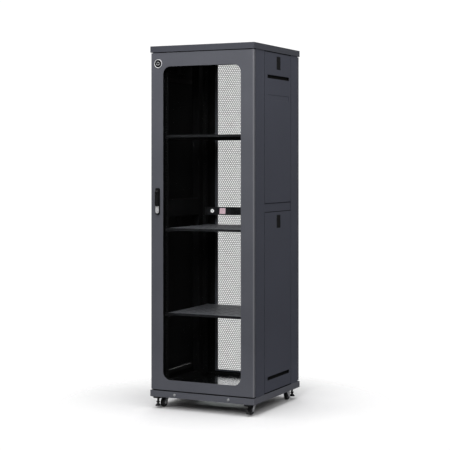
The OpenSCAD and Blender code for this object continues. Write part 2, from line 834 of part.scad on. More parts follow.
// Pressed fork with its riveted axle, trailing towards -Y from the swivel axis
module castor_fork() {
    axle_end = cheek_x + cheek_t + 2;
    color([0.66, 0.67, 0.69]) {
        difference() {
            union() {
                translate([0, 0, crown_z0]) cylinder(h = crown_h, r = crown_r);
                for (side = [0, 1])
                    mirror([side, 0, 0]) plate_yz(cheek_x, cheek_t) {
                        polygon([[14, crown_z1 - 1], [-14, crown_z1 - 1],
                            [-castor_trail - 8, wheel_r + 4], [-castor_trail + 8, wheel_r - 4]]);
                        translate([-castor_trail, wheel_r]) circle(9);
                    }
            }
            translate([0, 0, crown_z0 - eps])
                cylinder(h = crown_h + 2 * eps, r = kingpin_r + run_clear);
            rod_x(-castor_trail, wheel_r, -axle_end, axle_end, castor_axle_r);
        }
        rod_x(-castor_trail, wheel_r, -cheek_x - cheek_t, cheek_x + cheek_t, castor_axle_r);
        for (side = [0, 1])
            mirror([side, 0, 0])
                rod_x(-castor_trail, wheel_r, cheek_x + cheek_t, axle_end, castor_axle_r + 2);
    }
}

// Wheel with a raised hub and a rounded tread
module castor_wheel() {
    hub_x = cheek_x - 0.6;
    tread_x = wheel_w / 2;
    color([0.12, 0.12, 0.12]) translate([0, -castor_trail, wheel_r]) rotate([0, 90, 0])
        rotate_extrude($fn = 72) polygon([[castor_axle_r + run_clear, -hub_x],
            [castor_axle_r + 4, -hub_x], [castor_axle_r + 4, -tread_x + 2.5],
            [wheel_r - 6, -tread_x + 2.5], [wheel_r - 5, -tread_x + 0.5],
            [wheel_r - 2.5, -tread_x], [wheel_r - 0.6, -tread_x + 1.5], [wheel_r, -tread_x + 4],
            [wheel_r, tread_x - 4], [wheel_r - 0.6, tread_x - 1.5], [wheel_r - 2.5, tread_x],
            [wheel_r - 5, tread_x - 0.5], [wheel_r - 6, tread_x - 2.5],
            [castor_axle_r + 4, tread_x - 2.5], [castor_axle_r + 4, hub_x],
            [castor_axle_r + run_clear, hub_x]]);
}

// Places a castor piece; rear castors trail to the rear
module castor_at(x, y) {
    translate([x * castor_x, y * castor_y, 0]) rotate([0, 0, y < 0 ? 0 : 180]) children();
}

module castor_fork_front_left() {
    castor_at(-1, -1) castor_fork();
}

module castor_fork_front_right() {
    castor_at(1, -1) castor_fork();
}

module castor_fork_rear_left() {
    castor_at(-1, 1) castor_fork();
}

module castor_fork_rear_right() {
    castor_at(1, 1) castor_fork();
}

module castor_wheel_front_left() {
    castor_at(-1, -1) castor_wheel();
}

module castor_wheel_front_right() {
    castor_at(1, -1) castor_wheel();
}

module castor_wheel_rear_left() {
    castor_at(-1, 1) castor_wheel();
}

module castor_wheel_rear_right() {
    castor_at(1, 1) castor_wheel();
}

// Threaded plates under the base frame that guide the feet
module foot_plates() {
    color([0.10, 0.10, 0.10]) at_corners() translate([foot_x, foot_y, base_z0 - foot_plate_t])
        difference() {
            linear_extrude(foot_plate_t) rounded_rect(foot_plate_w, foot_plate_w, 4);
            translate([0, 0, -eps])
                cylinder(h = foot_plate_t + 2 * eps, r = foot_stem_r + run_clear);
        }
}

// Pad, threaded stem and lock nut of a levelling foot
module levelling_foot() {
    pad_h = 4;
    nut_z = foot_lift + 18;
    color([0.14, 0.14, 0.14]) {
        rotate_extrude() polygon([[0, foot_lift], [foot_pad_r - 1, foot_lift],
            [foot_pad_r, foot_lift + 1], [foot_pad_r, foot_lift + pad_h],
            [foot_stem_r + 2, foot_lift + 12], [foot_stem_r, foot_lift + 12],
            [foot_stem_r, foot_stem_z1 - 1], [foot_stem_r - 1, foot_stem_z1], [0, foot_stem_z1]]);
        difference() {
            translate([0, 0, nut_z]) cylinder(h = 6, r = 10, $fn = 6);
            translate([0, 0, nut_z - eps]) cylinder(h = 6 + 2 * eps, r = foot_stem_r);
        }
    }
}

module foot_front_left() {
    translate([-foot_x, -foot_y, 0]) levelling_foot();
}

module foot_front_right() {
    translate([foot_x, -foot_y, 0]) levelling_foot();
}

module foot_rear_left() {
    translate([-foot_x, foot_y, 0]) levelling_foot();
}

module foot_rear_right() {
    translate([foot_x, foot_y, 0]) levelling_foot();
}

// ---------------------------------------------------------------- doors

// Plan of a door with rounded upright edges at its face, less an inset all round
module door_plan(inset) {
    r = door_edge_r - inset;
    half_w = skin_x - inset;
    face_y = skin_y - inset;
    translate([-half_w, -face_y + r]) square([2 * half_w, face_y - r - door_back_y - inset]);
    translate([-half_w + r, -face_y]) square([2 * half_w - 2 * r, r + eps]);
    for (x = [-1, 1])
        translate([x * (half_w - r), -face_y + r]) circle(r);
}

// Folded tray with a lip round its back, bushed for the hinge pins; children are its cut-outs
module door_tray() {
    difference() {
        union() {
            difference() {
                translate([0, 0, door_z0]) linear_extrude(door_h) door_plan(0);
                translate([0, 0, door_z0 + sheet_t]) linear_extrude(door_h - 2 * sheet_t)
                    door_plan(sheet_t);
                box([-skin_x + door_lip, -door_back_y - 2 * sheet_t, door_z0 + door_lip],
                    [skin_x - door_lip, -door_back_y + eps, door_z1 - door_lip]);
            }
            for (z = [door_z0, door_z1 - hinge_block_h])
                translate([hinge_x, -hinge_y, z]) cylinder(h = hinge_block_h, r = hinge_block_r);
        }
        for (z = [door_z0, door_z1 - hinge_block_h])
            translate([hinge_x, -hinge_y, z - eps])
                cylinder(h = hinge_block_h + 2 * eps, r = hinge_pin_r + run_clear);
        rod_y(handle_x, spindle_z, -skin_y - eps, -skin_y + sheet_t + eps, spindle_r + 0.5);
        children();
    }
}

module front_door_frame() {
    color([0.33, 0.33, 0.36]) door_tray() {
        plate_xz(-skin_y - eps, sheet_t + 2 * eps)
            translate([0, (window_z0 + window_z1) / 2])
                rounded_rect(window_w, window_z1 - window_z0, window_r);
        rod_y(handle_x, lock_z, -skin_y - eps, -skin_y + sheet_t + eps, barrel_r + 0.5);
    }
}

module front_glass() {
    color([0.55, 0.60, 0.62, 0.35]) plate_xz(-sheet_back_y + seal_t, glass_t)
        translate([0, (window_z0 + window_z1) / 2])
            rounded_rect(window_w + 2 * glass_lap, window_z1 - window_z0 + 2 * glass_lap,
                window_r + glass_lap);
}

// Rubber seal squeezed between the door's border and the glass
module glass_seal() {
    color([0.05, 0.05, 0.05]) plate_xz(-sheet_back_y, seal_t)
        translate([0, (window_z0 + window_z1) / 2]) difference() {
            rounded_rect(window_w + 2 * glass_lap, window_z1 - window_z0 + 2 * glass_lap,
                window_r + glass_lap);
            rounded_rect(window_w, window_z1 - window_z0, window_r);
        }
}

// Plain round badge: a ring around a domed centre
module door_badge() {
    color([0.88, 0.88, 0.90]) translate([handle_x + 1, -skin_y, door_z1 - badge_drop])
        rotate([90, 0, 0]) rotate_extrude($fn = 72) polygon([[0, 0], [badge_d / 2, 0],
            [badge_d / 2, 1.5], [badge_d / 2 - 1, 2.5], [badge_d / 2 - 6, 2.5],
            [badge_d / 2 - 7, 1.6], [6, 2.2], [0, 2.3]]);
}

module rear_door_frame() {
    color([0.33, 0.33, 0.36]) rotate([0, 0, 180]) door_tray() {
        plate_xz(-skin_y - eps, sheet_t + 2 * eps)
            translate([0, (mesh_z0 + mesh_z1) / 2])
                rounded_rect(mesh_w, mesh_z1 - mesh_z0, 8);
    }
}

module rear_mesh() {
    color([0.38, 0.38, 0.40]) rotate([0, 0, 180]) plate_xz(-sheet_back_y, mesh_t)
        translate([0, (mesh_z0 + mesh_z1) / 2])
            rounded_rect(mesh_w + 2 * mesh_lap, mesh_z1 - mesh_z0 + 2 * mesh_lap - 8, 8);
}

// Stepped pins, fixed in the base frame and in the top cover, that the door turns on
module door_hinge_pins() {
    translate([hinge_x, -hinge_y, base_z1 - 8]) cylinder(h = 24 + door_bottom_gap, r = hinge_pin_r);
    translate([hinge_x, -hinge_y, base_z1])
        cylinder(h = door_bottom_gap - move_clear, r = hinge_pin_r + 2.5);
    translate([hinge_x, -hinge_y, door_z1 - 16])
        cylinder(h = 24 + door_top_gap, r = hinge_pin_r);
}

module front_hinge_pins() {
    color([0.70, 0.70, 0.70]) door_hinge_pins();
}

module rear_hinge_pins() {
    color([0.70, 0.70, 0.70]) rotate([0, 0, 180]) door_hinge_pins();
}

// ---------------------------------------------------------------- handles

// Housing plate with a bored seat for the spindle; has_lock adds the barrel's bore
module handle_housing(has_lock) {
    difference() {
        plate_xz(-housing_y, housing_t) translate([handle_x, handle_z0 + handle_len / 2])
            rounded_rect(handle_w, handle_len, 7);
        rod_y(handle_x, spindle_z, -housing_y - eps, -skin_y + eps, spindle_r + run_clear);
        if (has_lock)
            rod_y(handle_x, lock_z, -housing_y - eps, -skin_y + eps, barrel_r + run_clear);
    }
}

// Spindle with a flat head, its cross pin and the cam behind the door's face
module handle_spindle() {
    head_half = lever_t / 2;
    translate([handle_x, 0, spindle_z]) {
        rod_y(0, 0, -housing_y - move_clear, -cam_y0 + cam_t, spindle_r);
        intersection() {
            box([-head_w / 2, -lever_y1, -head_half], [head_w / 2, -housing_y, head_half]);
            union() {
                rod_x(-lever_pin_y, 0, -head_w, head_w, head_half);
                box([-head_w, -lever_pin_y, -head_half], [head_w, -housing_y, head_half]);
            }
        }
        rod_x(-lever_pin_y, 0, -lever_w / 2, lever_w / 2, lever_pin_r);
        box([-cam_len, -cam_y0, -cam_w / 2], [0, -cam_y0 + cam_t, cam_w / 2]);
    }
}

// Forked lever that hangs from the cross pin
module handle_lever() {
    pivot_r = lever_t / 2;
    body_z1 = spindle_z - pivot_r - 4;
    tip_r = 6;
    difference() {
        union() {
            plate_xz(-lever_y1, lever_t) {
                translate([handle_x - lever_w / 2, lever_end_z + tip_r])
                    square([lever_w, spindle_z - lever_end_z - tip_r]);
                translate([handle_x - lever_w / 2 + tip_r, lever_end_z])
                    square([lever_w - 2 * tip_r, tip_r + eps]);
                for (x = [-1, 1])
                    translate([handle_x + x * (lever_w / 2 - tip_r), lever_end_z + tip_r])
                        circle(tip_r);
            }
            rod_x(-lever_pin_y, spindle_z, handle_x - lever_w / 2, handle_x + lever_w / 2, pivot_r);
        }
        box([handle_x - fork_gap / 2, -lever_y1 - eps, body_z1],
            [handle_x + fork_gap / 2, -lever_y0 + eps, spindle_z + 2 * pivot_r]);
        rod_x(-lever_pin_y, spindle_z, handle_x - lever_w, handle_x + lever_w,
            lever_pin_r + run_clear);
        // finger grip
        box([handle_x - lever_w / 2 - eps, -lever_y0 - 3, lever_end_z - eps],
            [handle_x + lever_w / 2 + eps, -lever_y0 + eps, lever_end_z + 14]);
    }
}

module front_handle_housing() {
    color([0.07, 0.07, 0.08]) handle_housing(true);
}

// Bright cover around the lock, round at its lower end
module front_lock_cover() {
    r = lock_cover_w / 2;
    color([0.82, 0.83, 0.85]) difference() {
        plate_xz(-lock_cover_y, lock_cover_y - housing_y) {
            translate([handle_x - r, lock_cover_z0 + r])
                square([lock_cover_w, lock_cover_h - r]);
            translate([handle_x, lock_cover_z0 + r]) circle(r);
        }
        rod_y(handle_x, lock_z, -lock_cover_y - eps, -housing_y + eps, barrel_r + run_clear);
    }
}

module front_handle_spindle() {
    color([0.12, 0.12, 0.13]) handle_spindle();
}

module front_handle_lever() {
    color([0.06, 0.06, 0.07]) handle_lever();
}

// Lock barrel with a key slot and a small tongue
module front_lock_barrel() {
    color([0.72, 0.72, 0.70]) difference() {
        union() {
            rod_y(handle_x, lock_z, -lock_cover_y - 1, -skin_y + 8, barrel_r);
            box([handle_x - 3, -skin_y + 5, lock_z], [handle_x + 3, -skin_y + 8, lock_z + 15]);
        }
        box([handle_x - 0.6, -lock_cover_y - 2, lock_z - 3.5],
            [handle_x + 0.6, -lock_cover_y + 6, lock_z + 3.5]);
    }
}

module rear_handle_housing() {
    color([0.07, 0.07, 0.08]) rotate([0, 0, 180]) handle_housing(false);
}

module rear_handle_spindle() {
    color([0.12, 0.12, 0.13]) rotate([0, 0, 180]) handle_spindle();
}

module rear_handle_lever() {
    color([0.06, 0.06, 0.07]) rotate([0, 0, 180]) handle_lever();
}

// ---------------------------------------------------------------- side panels

// Right-hand panel: a folded tray with a latch window and a recessed vent
module side_panel(z0, z1, lug_drop, vent_z, has_band) {
    latch_z = z1 - latch_drop;
    vent_y0 = panel_y0 + vent_front_inset;
    vent_y1 = panel_y1 - vent_rear_inset;
    pocket_x = skin_x - panel_d + 1;
    bar_pitch = 12;
    bars = floor((vent_y1 - vent_y0 - 6) / bar_pitch);
    difference() {
        union() {
            difference() {
                box([skin_x - panel_d, panel_y0, z0], [skin_x, panel_y1, z1]);
                box([skin_x - panel_d - eps, panel_y0 + sheet_t, z0 + sheet_t],
                    [skin_x - sheet_t, panel_y1 - sheet_t, z1 - sheet_t]);
            }
            box([pocket_x, vent_y0 - sheet_t, vent_z - vent_h / 2 - sheet_t],
                [skin_x - sheet_t / 2, vent_y1 + sheet_t, vent_z + vent_h / 2 + sheet_t]);
        }
        box([pocket_x + sheet_t, vent_y0, vent_z - vent_h / 2],
            [skin_x + eps, vent_y1, vent_z + vent_h / 2]);
        for (i = [0 : bars - 1])
            translate([pocket_x - eps, vent_y0 + 4 + i * bar_pitch, vent_z - vent_h / 2 + 3])
                cube([sheet_t + 2 * eps, bar_pitch - 6, vent_h - 6]);
        box([skin_x - sheet_t - eps, latch_y - latch_window_w / 2,
                latch_z + latch_h / 2 + 1 - latch_window_h],
            [skin_x + eps, latch_y + latch_window_w / 2, latch_z + latch_h / 2 + 1]);
        if (has_band)
            box([skin_x - band_depth, vent_y0 + band_inset, vent_z - band_drop - band_h],
                [skin_x + eps, vent_y1 - band_inset, vent_z - band_drop]);
    }
    for (side = [0, 1])
        translate([0, latch_y, 0]) mirror([0, side, 0]) latch_guide(latch_z);
    bead_z = z0 - lug_drop + lug_r;
    for (y = [panel_y0 + lug_inset, panel_y1 - lug_inset - lug_w]) {
        box([lug_x - lug_r, y, bead_z], [lug_x + lug_r, y + lug_w, z0 + sheet_t]);
        rod_y(lug_x, bead_z, y, y + lug_w, lug_r);
    }
}

// Hooked guide beside the latch's window, drawn for its +Y edge
module latch_guide(latch_z) {
    lip_x1 = latch_flange_x0 - move_clear;
    y0 = latch_w / 2 + latch_flange_lap + move_clear;
    z0 = latch_z - latch_h / 2 - latch_travel;
    z1 = latch_z + latch_h / 2;
    box([lip_x1 - sheet_t, y0, z0], [skin_x - sheet_t / 2, y0 + 3, z1]);
    box([lip_x1 - sheet_t, y0 - 3, z0], [lip_x1, y0 + 3, z1]);
}

// Right-hand latch: a slider in the panel's window with a hook behind it
module side_latch(z1) {
    latch_z = z1 - latch_drop;
    flange_x1 = skin_x - sheet_t - move_clear;
    flange_x0 = latch_flange_x0;
    hook_x = depth_rail_x - 6;
    hook_z = z1 - rail_under_panel_top - 9;
    box([flange_x0, latch_y - latch_w / 2, latch_z - latch_h / 2],
        [skin_x - 0.5, latch_y + latch_w / 2, latch_z + latch_h / 2]);
    box([flange_x0, latch_y - latch_w / 2 - latch_flange_lap,
            latch_z - latch_h / 2 - latch_travel - latch_flange_lap],
        [flange_x1, latch_y + latch_w / 2 + latch_flange_lap, latch_z + latch_h / 2 + 4]);
    box([hook_x, latch_y - hook_w / 2, hook_z], [flange_x0, latch_y + hook_w / 2, hook_z + 3]);
    box([hook_x, latch_y - hook_w / 2, hook_z],
        [hook_x + 2.5, latch_y + hook_w / 2, hook_z + hook_h]);
    // thumb ledge
    box([skin_x - 1, latch_y - latch_w / 2 + ledge_inset, latch_z + ledge_rise],
        [skin_x + ledge_reach, latch_y + latch_w / 2 - ledge_inset,
            latch_z + ledge_rise + ledge_h]);
}

module side_panel_upper_left() {
    color([0.30, 0.30, 0.33]) mirror([1, 0, 0])
        side_panel(upper_panel_z0, upper_panel_z1, upper_lug_drop,
            upper_panel_z1 - upper_vent_drop, true);
}

module side_panel_upper_right() {
    color([0.30, 0.30, 0.33])
        side_panel(upper_panel_z0, upper_panel_z1, upper_lug_drop,
            upper_panel_z1 - upper_vent_drop, true);
}

module side_panel_lower_left() {
    color([0.30, 0.30, 0.33]) mirror([1, 0, 0])
        side_panel(lower_panel_z0, lower_panel_z1, lower_lug_drop,
            lower_panel_z0 + lower_vent_rise, false);
}

module side_panel_lower_right() {
    color([0.30, 0.30, 0.33])
        side_panel(lower_panel_z0, lower_panel_z1, lower_lug_drop,
            lower_panel_z0 + lower_vent_rise, false);
}

module side_latch_upper_left() {
    color([0.05, 0.05, 0.05]) mirror([1, 0, 0]) side_latch(upper_panel_z1);
}

module side_latch_upper_right() {
    color([0.05, 0.05, 0.05]) side_latch(upper_panel_z1);
}

module side_latch_lower_left() {
    color([0.05, 0.05, 0.05]) mirror([1, 0, 0]) side_latch(lower_panel_z1);
}

module side_latch_lower_right() {
    color([0.05, 0.05, 0.05]) side_latch(lower_panel_z1);
}

// ---------------------------------------------------------------- roof fans

// Square fan housings with struts and a bored motor core
module fan_frames() {
    color([0.09, 0.09, 0.10]) for (side = [-1, 1])
        translate([side * fan_offset, 0, fan_z0]) {
            difference() {
                linear_extrude(fan_depth) rounded_rect(fan_side, fan_side, 5);
                translate([0, 0, -eps]) cylinder(h = fan_depth + 2 * eps, r = fan_bore_r);
                for (x = [-1, 1], y = [-1, 1])
                    translate([x * (fan_side / 2 - 7.5), y * (fan_side / 2 - 7.5), -eps])
                        cylinder(h = fan_depth + 2 * eps, r = 2.2);
            }
            difference() {
                union() {
                    for (turn = [45, 135])
                        rotate([0, 0, turn])
                            box([-fan_bore_r - 1, -2.5, 0], [fan_bore_r + 1, 2.5, 3]);
                    cylinder(h = 3, r = fan_hub_r);
                    cylinder(h = 14, r = fan_hub_r - 6);
                }
                translate([0, 0, -eps]) cylinder(h = 16, r = fan_shaft_r + run_clear);
            }
        }
}

// Hub cup, shaft and pitched blades
module fan_rotor() {
    blade_len = fan_bore_r - 2.5 - fan_hub_r + 2;
    color([0.13, 0.13, 0.14]) translate([0, 0, fan_z0]) {
        difference() {
            translate([0, 0, 5]) cylinder(h = 16, r = fan_hub_r);
            translate([0, 0, 4]) cylinder(h = 14, r = fan_hub_r - 2.5);
        }
        translate([0, 0, 2]) cylinder(h = 17, r = fan_shaft_r);
        for (i = [0 : fan_blades - 1])
            rotate([0, 0, i * 360 / fan_blades]) translate([fan_hub_r - 1 + blade_len / 2, 0, 12.5])
                rotate([35, 0, 0]) cube([blade_len, 22, 1.6], center = true);
    }
}

module fan_rotor_left() {
    translate([-fan_offset, 0, 0]) fan_rotor();
}

module fan_rotor_right() {
    translate([fan_offset, 0, 0]) fan_rotor();
}

base_frame();
floor_panel();
front_frame();
rear_frame();
depth_rails();
top_cover();
rack_rail_front_left();
rack_rail_front_right();
rack_rail_rear_left();
rack_rail_rear_right();
shelf_upper();
shelf_middle();
shelf_lower();
screws();
cage_nuts();
strip_body();
strip_outlets();
strip_reset_button();
strip_switch();
castor_plates();
castor_fork_front_left();
castor_fork_front_right();
castor_fork_rear_left();
castor_fork_rear_right();
castor_wheel_front_left();
castor_wheel_front_right();
castor_wheel_rear_left();
castor_wheel_rear_right();
foot_plates();
foot_front_left();
foot_front_right();
foot_rear_left();
foot_rear_right();
front_door_frame();
front_glass();
glass_seal();
door_badge();
front_handle_housing();
front_lock_cover();
front_handle_spindle();
front_handle_lever();
front_lock_barrel();
front_hinge_pins();
rear_door_frame();
rear_mesh();
rear_handle_housing();
rear_handle_spindle();
rear_handle_lever();
rear_hinge_pins();
side_panel_upper_left();
side_panel_upper_right();
side_panel_lower_left();
side_panel_lower_right();
side_latch_upper_left();
side_latch_upper_right();
side_latch_lower_left();
side_latch_lower_right();
fan_frames();
fan_rotor_left();
fan_rotor_right();
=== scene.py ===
import math
import bmesh
import bpy
from mathutils import Matrix, Vector


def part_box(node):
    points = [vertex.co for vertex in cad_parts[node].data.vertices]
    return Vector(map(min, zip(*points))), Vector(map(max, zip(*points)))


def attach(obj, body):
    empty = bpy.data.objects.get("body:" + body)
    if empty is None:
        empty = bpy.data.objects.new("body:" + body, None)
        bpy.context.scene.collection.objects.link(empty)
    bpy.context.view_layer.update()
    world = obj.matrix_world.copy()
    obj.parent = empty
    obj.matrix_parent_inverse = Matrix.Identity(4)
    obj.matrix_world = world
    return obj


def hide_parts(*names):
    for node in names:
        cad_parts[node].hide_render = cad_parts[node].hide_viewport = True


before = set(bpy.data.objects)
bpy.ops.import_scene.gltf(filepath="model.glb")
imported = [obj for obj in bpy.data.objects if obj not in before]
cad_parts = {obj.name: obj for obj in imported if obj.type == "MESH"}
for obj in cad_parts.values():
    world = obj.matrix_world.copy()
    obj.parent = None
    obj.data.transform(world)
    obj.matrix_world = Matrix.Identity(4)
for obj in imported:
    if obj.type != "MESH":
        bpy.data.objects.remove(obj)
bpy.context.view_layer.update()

# ---------------------------------------------------------------- frame, base and roof
# The skeleton: a welded base frame, two end frames and the depth rails between them, under
# a folded roof cover. Folded steel sheet, spot welded, with a fine textured charcoal powder
# coat on the outside; every inner face is painted black as shade.
charcoal = (0.101, 0.104, 0.121)
charcoal_dark = (0.063, 0.067, 0.088)
charcoal_roof = (0.061, 0.064, 0.078)
painted_inner_shade = (0.0035, 0.0035, 0.004)
seam_shade = (0.014, 0.015, 0.019)
coat_shine = 0.22
cover_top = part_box("top_cover")[1].z
any_height = 3.0


def add_node(tree, kind, inputs=None, **settings):
    """A node with its settings, and each input either linked or set to a value."""
    node = tree.nodes.new(kind)
    for label, value in settings.items():
        setattr(node, label, value)
    for label, value in (inputs or {}).items():
        if isinstance(value, bpy.types.NodeSocket):
            tree.links.new(value, node.inputs[label])
        else:
            node.inputs[label].default_value = value
    return node


def effect_group(name, inputs, outputs):
    """A shader node group with named inputs and outputs, and its two end nodes."""
    group = bpy.data.node_groups.new(name, "ShaderNodeTree")
    for label, kind, value in inputs:
        socket = group.interface.new_socket(label, in_out="INPUT", socket_type=kind)
        if value is not None:
            socket.default_value = value
    for label, kind in outputs:
        group.interface.new_socket(label, in_out="OUTPUT", socket_type=kind)
    return group, group.nodes.new("NodeGroupInput"), group.nodes.new("NodeGroupOutput")


def use_group(tree, group, inputs):
    """Places an effect group in a material with its own values."""
    return add_node(tree, "ShaderNodeGroup", inputs, node_tree=group)


def worked(tree, operation, first, second=None):
    """One value worked out from one or two others."""
    inputs = {0: first} if second is None else {0: first, 1: second}
    return add_node(tree, "ShaderNodeMath", inputs, operation=operation).outputs[0]


def rescaled(tree, value, from_span, to_span):
    """A value moved from one span of numbers to another."""
    return add_node(
        tree, "ShaderNodeMapRange",
        {"Value": value, "From Min": from_span[0], "From Max": from_span[1], "To Min": to_span[0],
         "To Max": to_span[1]},
    ).outputs["Result"]


def blended(tree, factor, first, second):
    """A colour between two others."""
    inputs = {"Factor": factor, 6: first, 7: second}
    return add_node(tree, "ShaderNodeMix", inputs, data_type="RGBA").outputs[2]


# Softened edges: the normal bends round the last millimetre, and a mask finds that edge
soft_edge, ends_in, ends_out = effect_group(
    "soft_edge",
    [("Radius", "NodeSocketFloat", 0.001), ("Break Up", "NodeSocketFloat", 60.0)],
    [("Normal", "NodeSocketVector"), ("Edge", "NodeSocketFloat")],
)
bend = add_node(soft_edge, "ShaderNodeBevel", {"Radius": ends_in.outputs["Radius"]}, samples=4)
flat = add_node(soft_edge, "ShaderNodeNewGeometry")
along = add_node(
    soft_edge, "ShaderNodeVectorMath",
    {0: bend.outputs["Normal"], 1: flat.outputs["True Normal"]}, operation="DOT_PRODUCT",
)
where = add_node(soft_edge, "ShaderNodeTexCoord")
patches = add_node(
    soft_edge, "ShaderNodeTexNoise",
    {"Vector": where.outputs["Object"], "Scale": ends_in.outputs["Break Up"], "Detail": 3.0},
)
edge_line = rescaled(soft_edge, along.outputs["Value"], (0.995, 0.8), (0.0, 1.0))
broken_line = rescaled(soft_edge, patches.outputs["Fac"], (0.3, 0.7), (0.45, 1.0))
edge_mask = worked(soft_edge, "MULTIPLY", edge_line, broken_line)
soft_edge.links.new(bend.outputs["Normal"], ends_out.inputs["Normal"])
soft_edge.links.new(edge_mask, ends_out.inputs["Edge"])

# Powder coat: orange peel, fine speckle and slow drifts of tone
powder_coat, ends_in, ends_out = effect_group(
    "powder_coat",
    [("Colour", "NodeSocketColor", (0.1, 0.1, 0.1, 1.0)), ("Normal", "NodeSocketVector", None),
     ("Grain", "NodeSocketFloat", 900.0), ("Peel", "NodeSocketFloat", 0.25),
     ("Gloss", "NodeSocketFloat", 0.42)],
    [("Colour", "NodeSocketColor"), ("Roughness", "NodeSocketFloat"), ("Normal", "NodeSocketVector")],
)
where = add_node(powder_coat, "ShaderNodeTexCoord")
grain = add_node(
    powder_coat, "ShaderNodeTexNoise",
    {"Vector": where.outputs["Object"], "Scale": ends_in.outputs["Grain"], "Detail": 2.0,
     "Roughness": 0.6},
)
drift = add_node(
    powder_coat, "ShaderNodeTexNoise",
    {"Vector": where.outputs["Object"], "Scale": 3.5, "Detail": 4.0, "Roughness": 0.55},
)
speckle = add_node(
    powder_coat, "ShaderNodeTexVoronoi", {"Vector": where.outputs["Object"], "Scale": 650.0},
)
speckle_tone = rescaled(powder_coat, speckle.outputs["Distance"], (0.0, 0.6), (1.12, 0.95))
drift_tone = rescaled(powder_coat, drift.outputs["Fac"], (0.25, 0.75), (0.93, 1.07))
tone = worked(powder_coat, "MULTIPLY", speckle_tone, drift_tone)
toned = add_node(
    powder_coat, "ShaderNodeVectorMath",
    {0: ends_in.outputs["Colour"], "Scale": tone}, operation="SCALE",
)
rough_shift = rescaled(powder_coat, drift.outputs["Fac"], (0.2, 0.8), (-0.05, 0.06))
rough = worked(powder_coat, "ADD", rough_shift, ends_in.outputs["Gloss"])
peel = add_node(
    powder_coat, "ShaderNodeBump",
    {"Height": grain.outputs["Fac"], "Strength": ends_in.outputs["Peel"], "Distance": 0.0003,
     "Normal": ends_in.outputs["Normal"]},
)
powder_coat.links.new(toned.outputs["Vector"], ends_out.inputs["Colour"])
powder_coat.links.new(rough, ends_out.inputs["Roughness"])
powder_coat.links.new(peel.outputs["Normal"], ends_out.inputs["Normal"])

# Inner side: 1 inside a box round the cabinet's middle, 0 outside it. It marks the faces
# that are painted black as shade.
inner_side, ends_in, ends_out = effect_group(
    "inner_side",
    [("Half Width", "NodeSocketFloat", 0.29), ("Half Depth", "NodeSocketFloat", 0.29),
     ("Top", "NodeSocketFloat", 3.0)],
    [("Mask", "NodeSocketFloat")],
)
where = add_node(inner_side, "ShaderNodeTexCoord")
split = add_node(inner_side, "ShaderNodeSeparateXYZ", {0: where.outputs["Object"]})
across = worked(inner_side, "ABSOLUTE", split.outputs["X"])
deep = worked(inner_side, "ABSOLUTE", split.outputs["Y"])
in_width = worked(inner_side, "LESS_THAN", across, ends_in.outputs["Half Width"])
in_depth = worked(inner_side, "LESS_THAN", deep, ends_in.outputs["Half Depth"])
in_height = worked(inner_side, "LESS_THAN", split.outputs["Z"], ends_in.outputs["Top"])
in_plan = worked(inner_side, "MULTIPLY", in_width, in_depth)
in_box = worked(inner_side, "MULTIPLY", in_plan, in_height)
inner_side.links.new(in_box, ends_out.inputs["Mask"])


def coated(name, colour, gloss=0.42, peel=0.25, edge_colour=None, inside=None, edge=0.0011):
    """Powder-coated sheet steel; inside gives the half width, half depth and top of the painted shade.
    """
    material = bpy.data.materials.new(name)
    material.use_nodes = True
    tree = material.node_tree
    shader = tree.nodes["Principled BSDF"]
    edges = use_group(tree, soft_edge, {"Radius": edge})
    coat = use_group(
        tree, powder_coat,
        {"Colour": (*colour, 1.0), "Normal": edges.outputs["Normal"], "Gloss": gloss, "Peel": peel},
    )
    # Painted light on the edges: paler by default as a painted highlight; seam_shade makes them dark
    # as painted seam shade.
    painted_edge_tone = edge_colour or tuple(min(1.0, 1.9 * part) for part in colour)
    paint = blended(tree, edges.outputs["Edge"], coat.outputs["Colour"], (*painted_edge_tone, 1.0))
    sheen = coat.outputs["Roughness"]
    # Painted shade: faces inside the box are painted black, with a rough finish.
    if inside:
        mask = use_group(
            tree, inner_side, {"Half Width": inside[0], "Half Depth": inside[1], "Top": inside[2]}
        )
        paint = blended(tree, mask.outputs["Mask"], paint, (*painted_inner_shade, 1.0))
        sheen = add_node(
            tree, "ShaderNodeMix",
            {"Factor": mask.outputs["Mask"], 2: coat.outputs["Roughness"], 3: 0.85},
            data_type="FLOAT",
        ).outputs[0]
    tree.links.new(paint, shader.inputs["Base Color"])
    tree.links.new(sheen, shader.inputs["Roughness"])
    tree.links.new(coat.outputs["Normal"], shader.inputs["Normal"])
    shader.inputs["Specular IOR Level"].default_value = coat_shine
    return material


def finish_nodes(material, *names):
    """Gives carried-over sheet and turned parts their finish."""
    for name in names:
        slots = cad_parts[name].data.materials
        slots.clear()
        slots.append(material)


# These coats paint the inner faces black as shade, and their edges paler as a painted highlight.
base_coat = coated("base_coat", charcoal, inside=(0.2975, 0.2975, any_height))
cover_coat = coated("cover_coat", charcoal_roof, inside=(0.2992, 0.2992, cover_top - 0.0008))
# Frame edges are painted dark as seam shade, and inner faces black as shade.
frame_coat = coated(
    "frame_coat", charcoal_dark, edge_colour=seam_shade, inside=(0.2955, 0.31, any_height),
    edge=0.0022,
)
rail_coat = coated("depth_rail_coat", charcoal_dark, inside=(0.29, 0.31, any_height))
finish_nodes(base_coat, "base_frame")
finish_nodes(cover_coat, "top_cover")
finish_nodes(frame_coat, "front_frame", "rear_frame")
finish_nodes(rail_coat, "depth_rails")

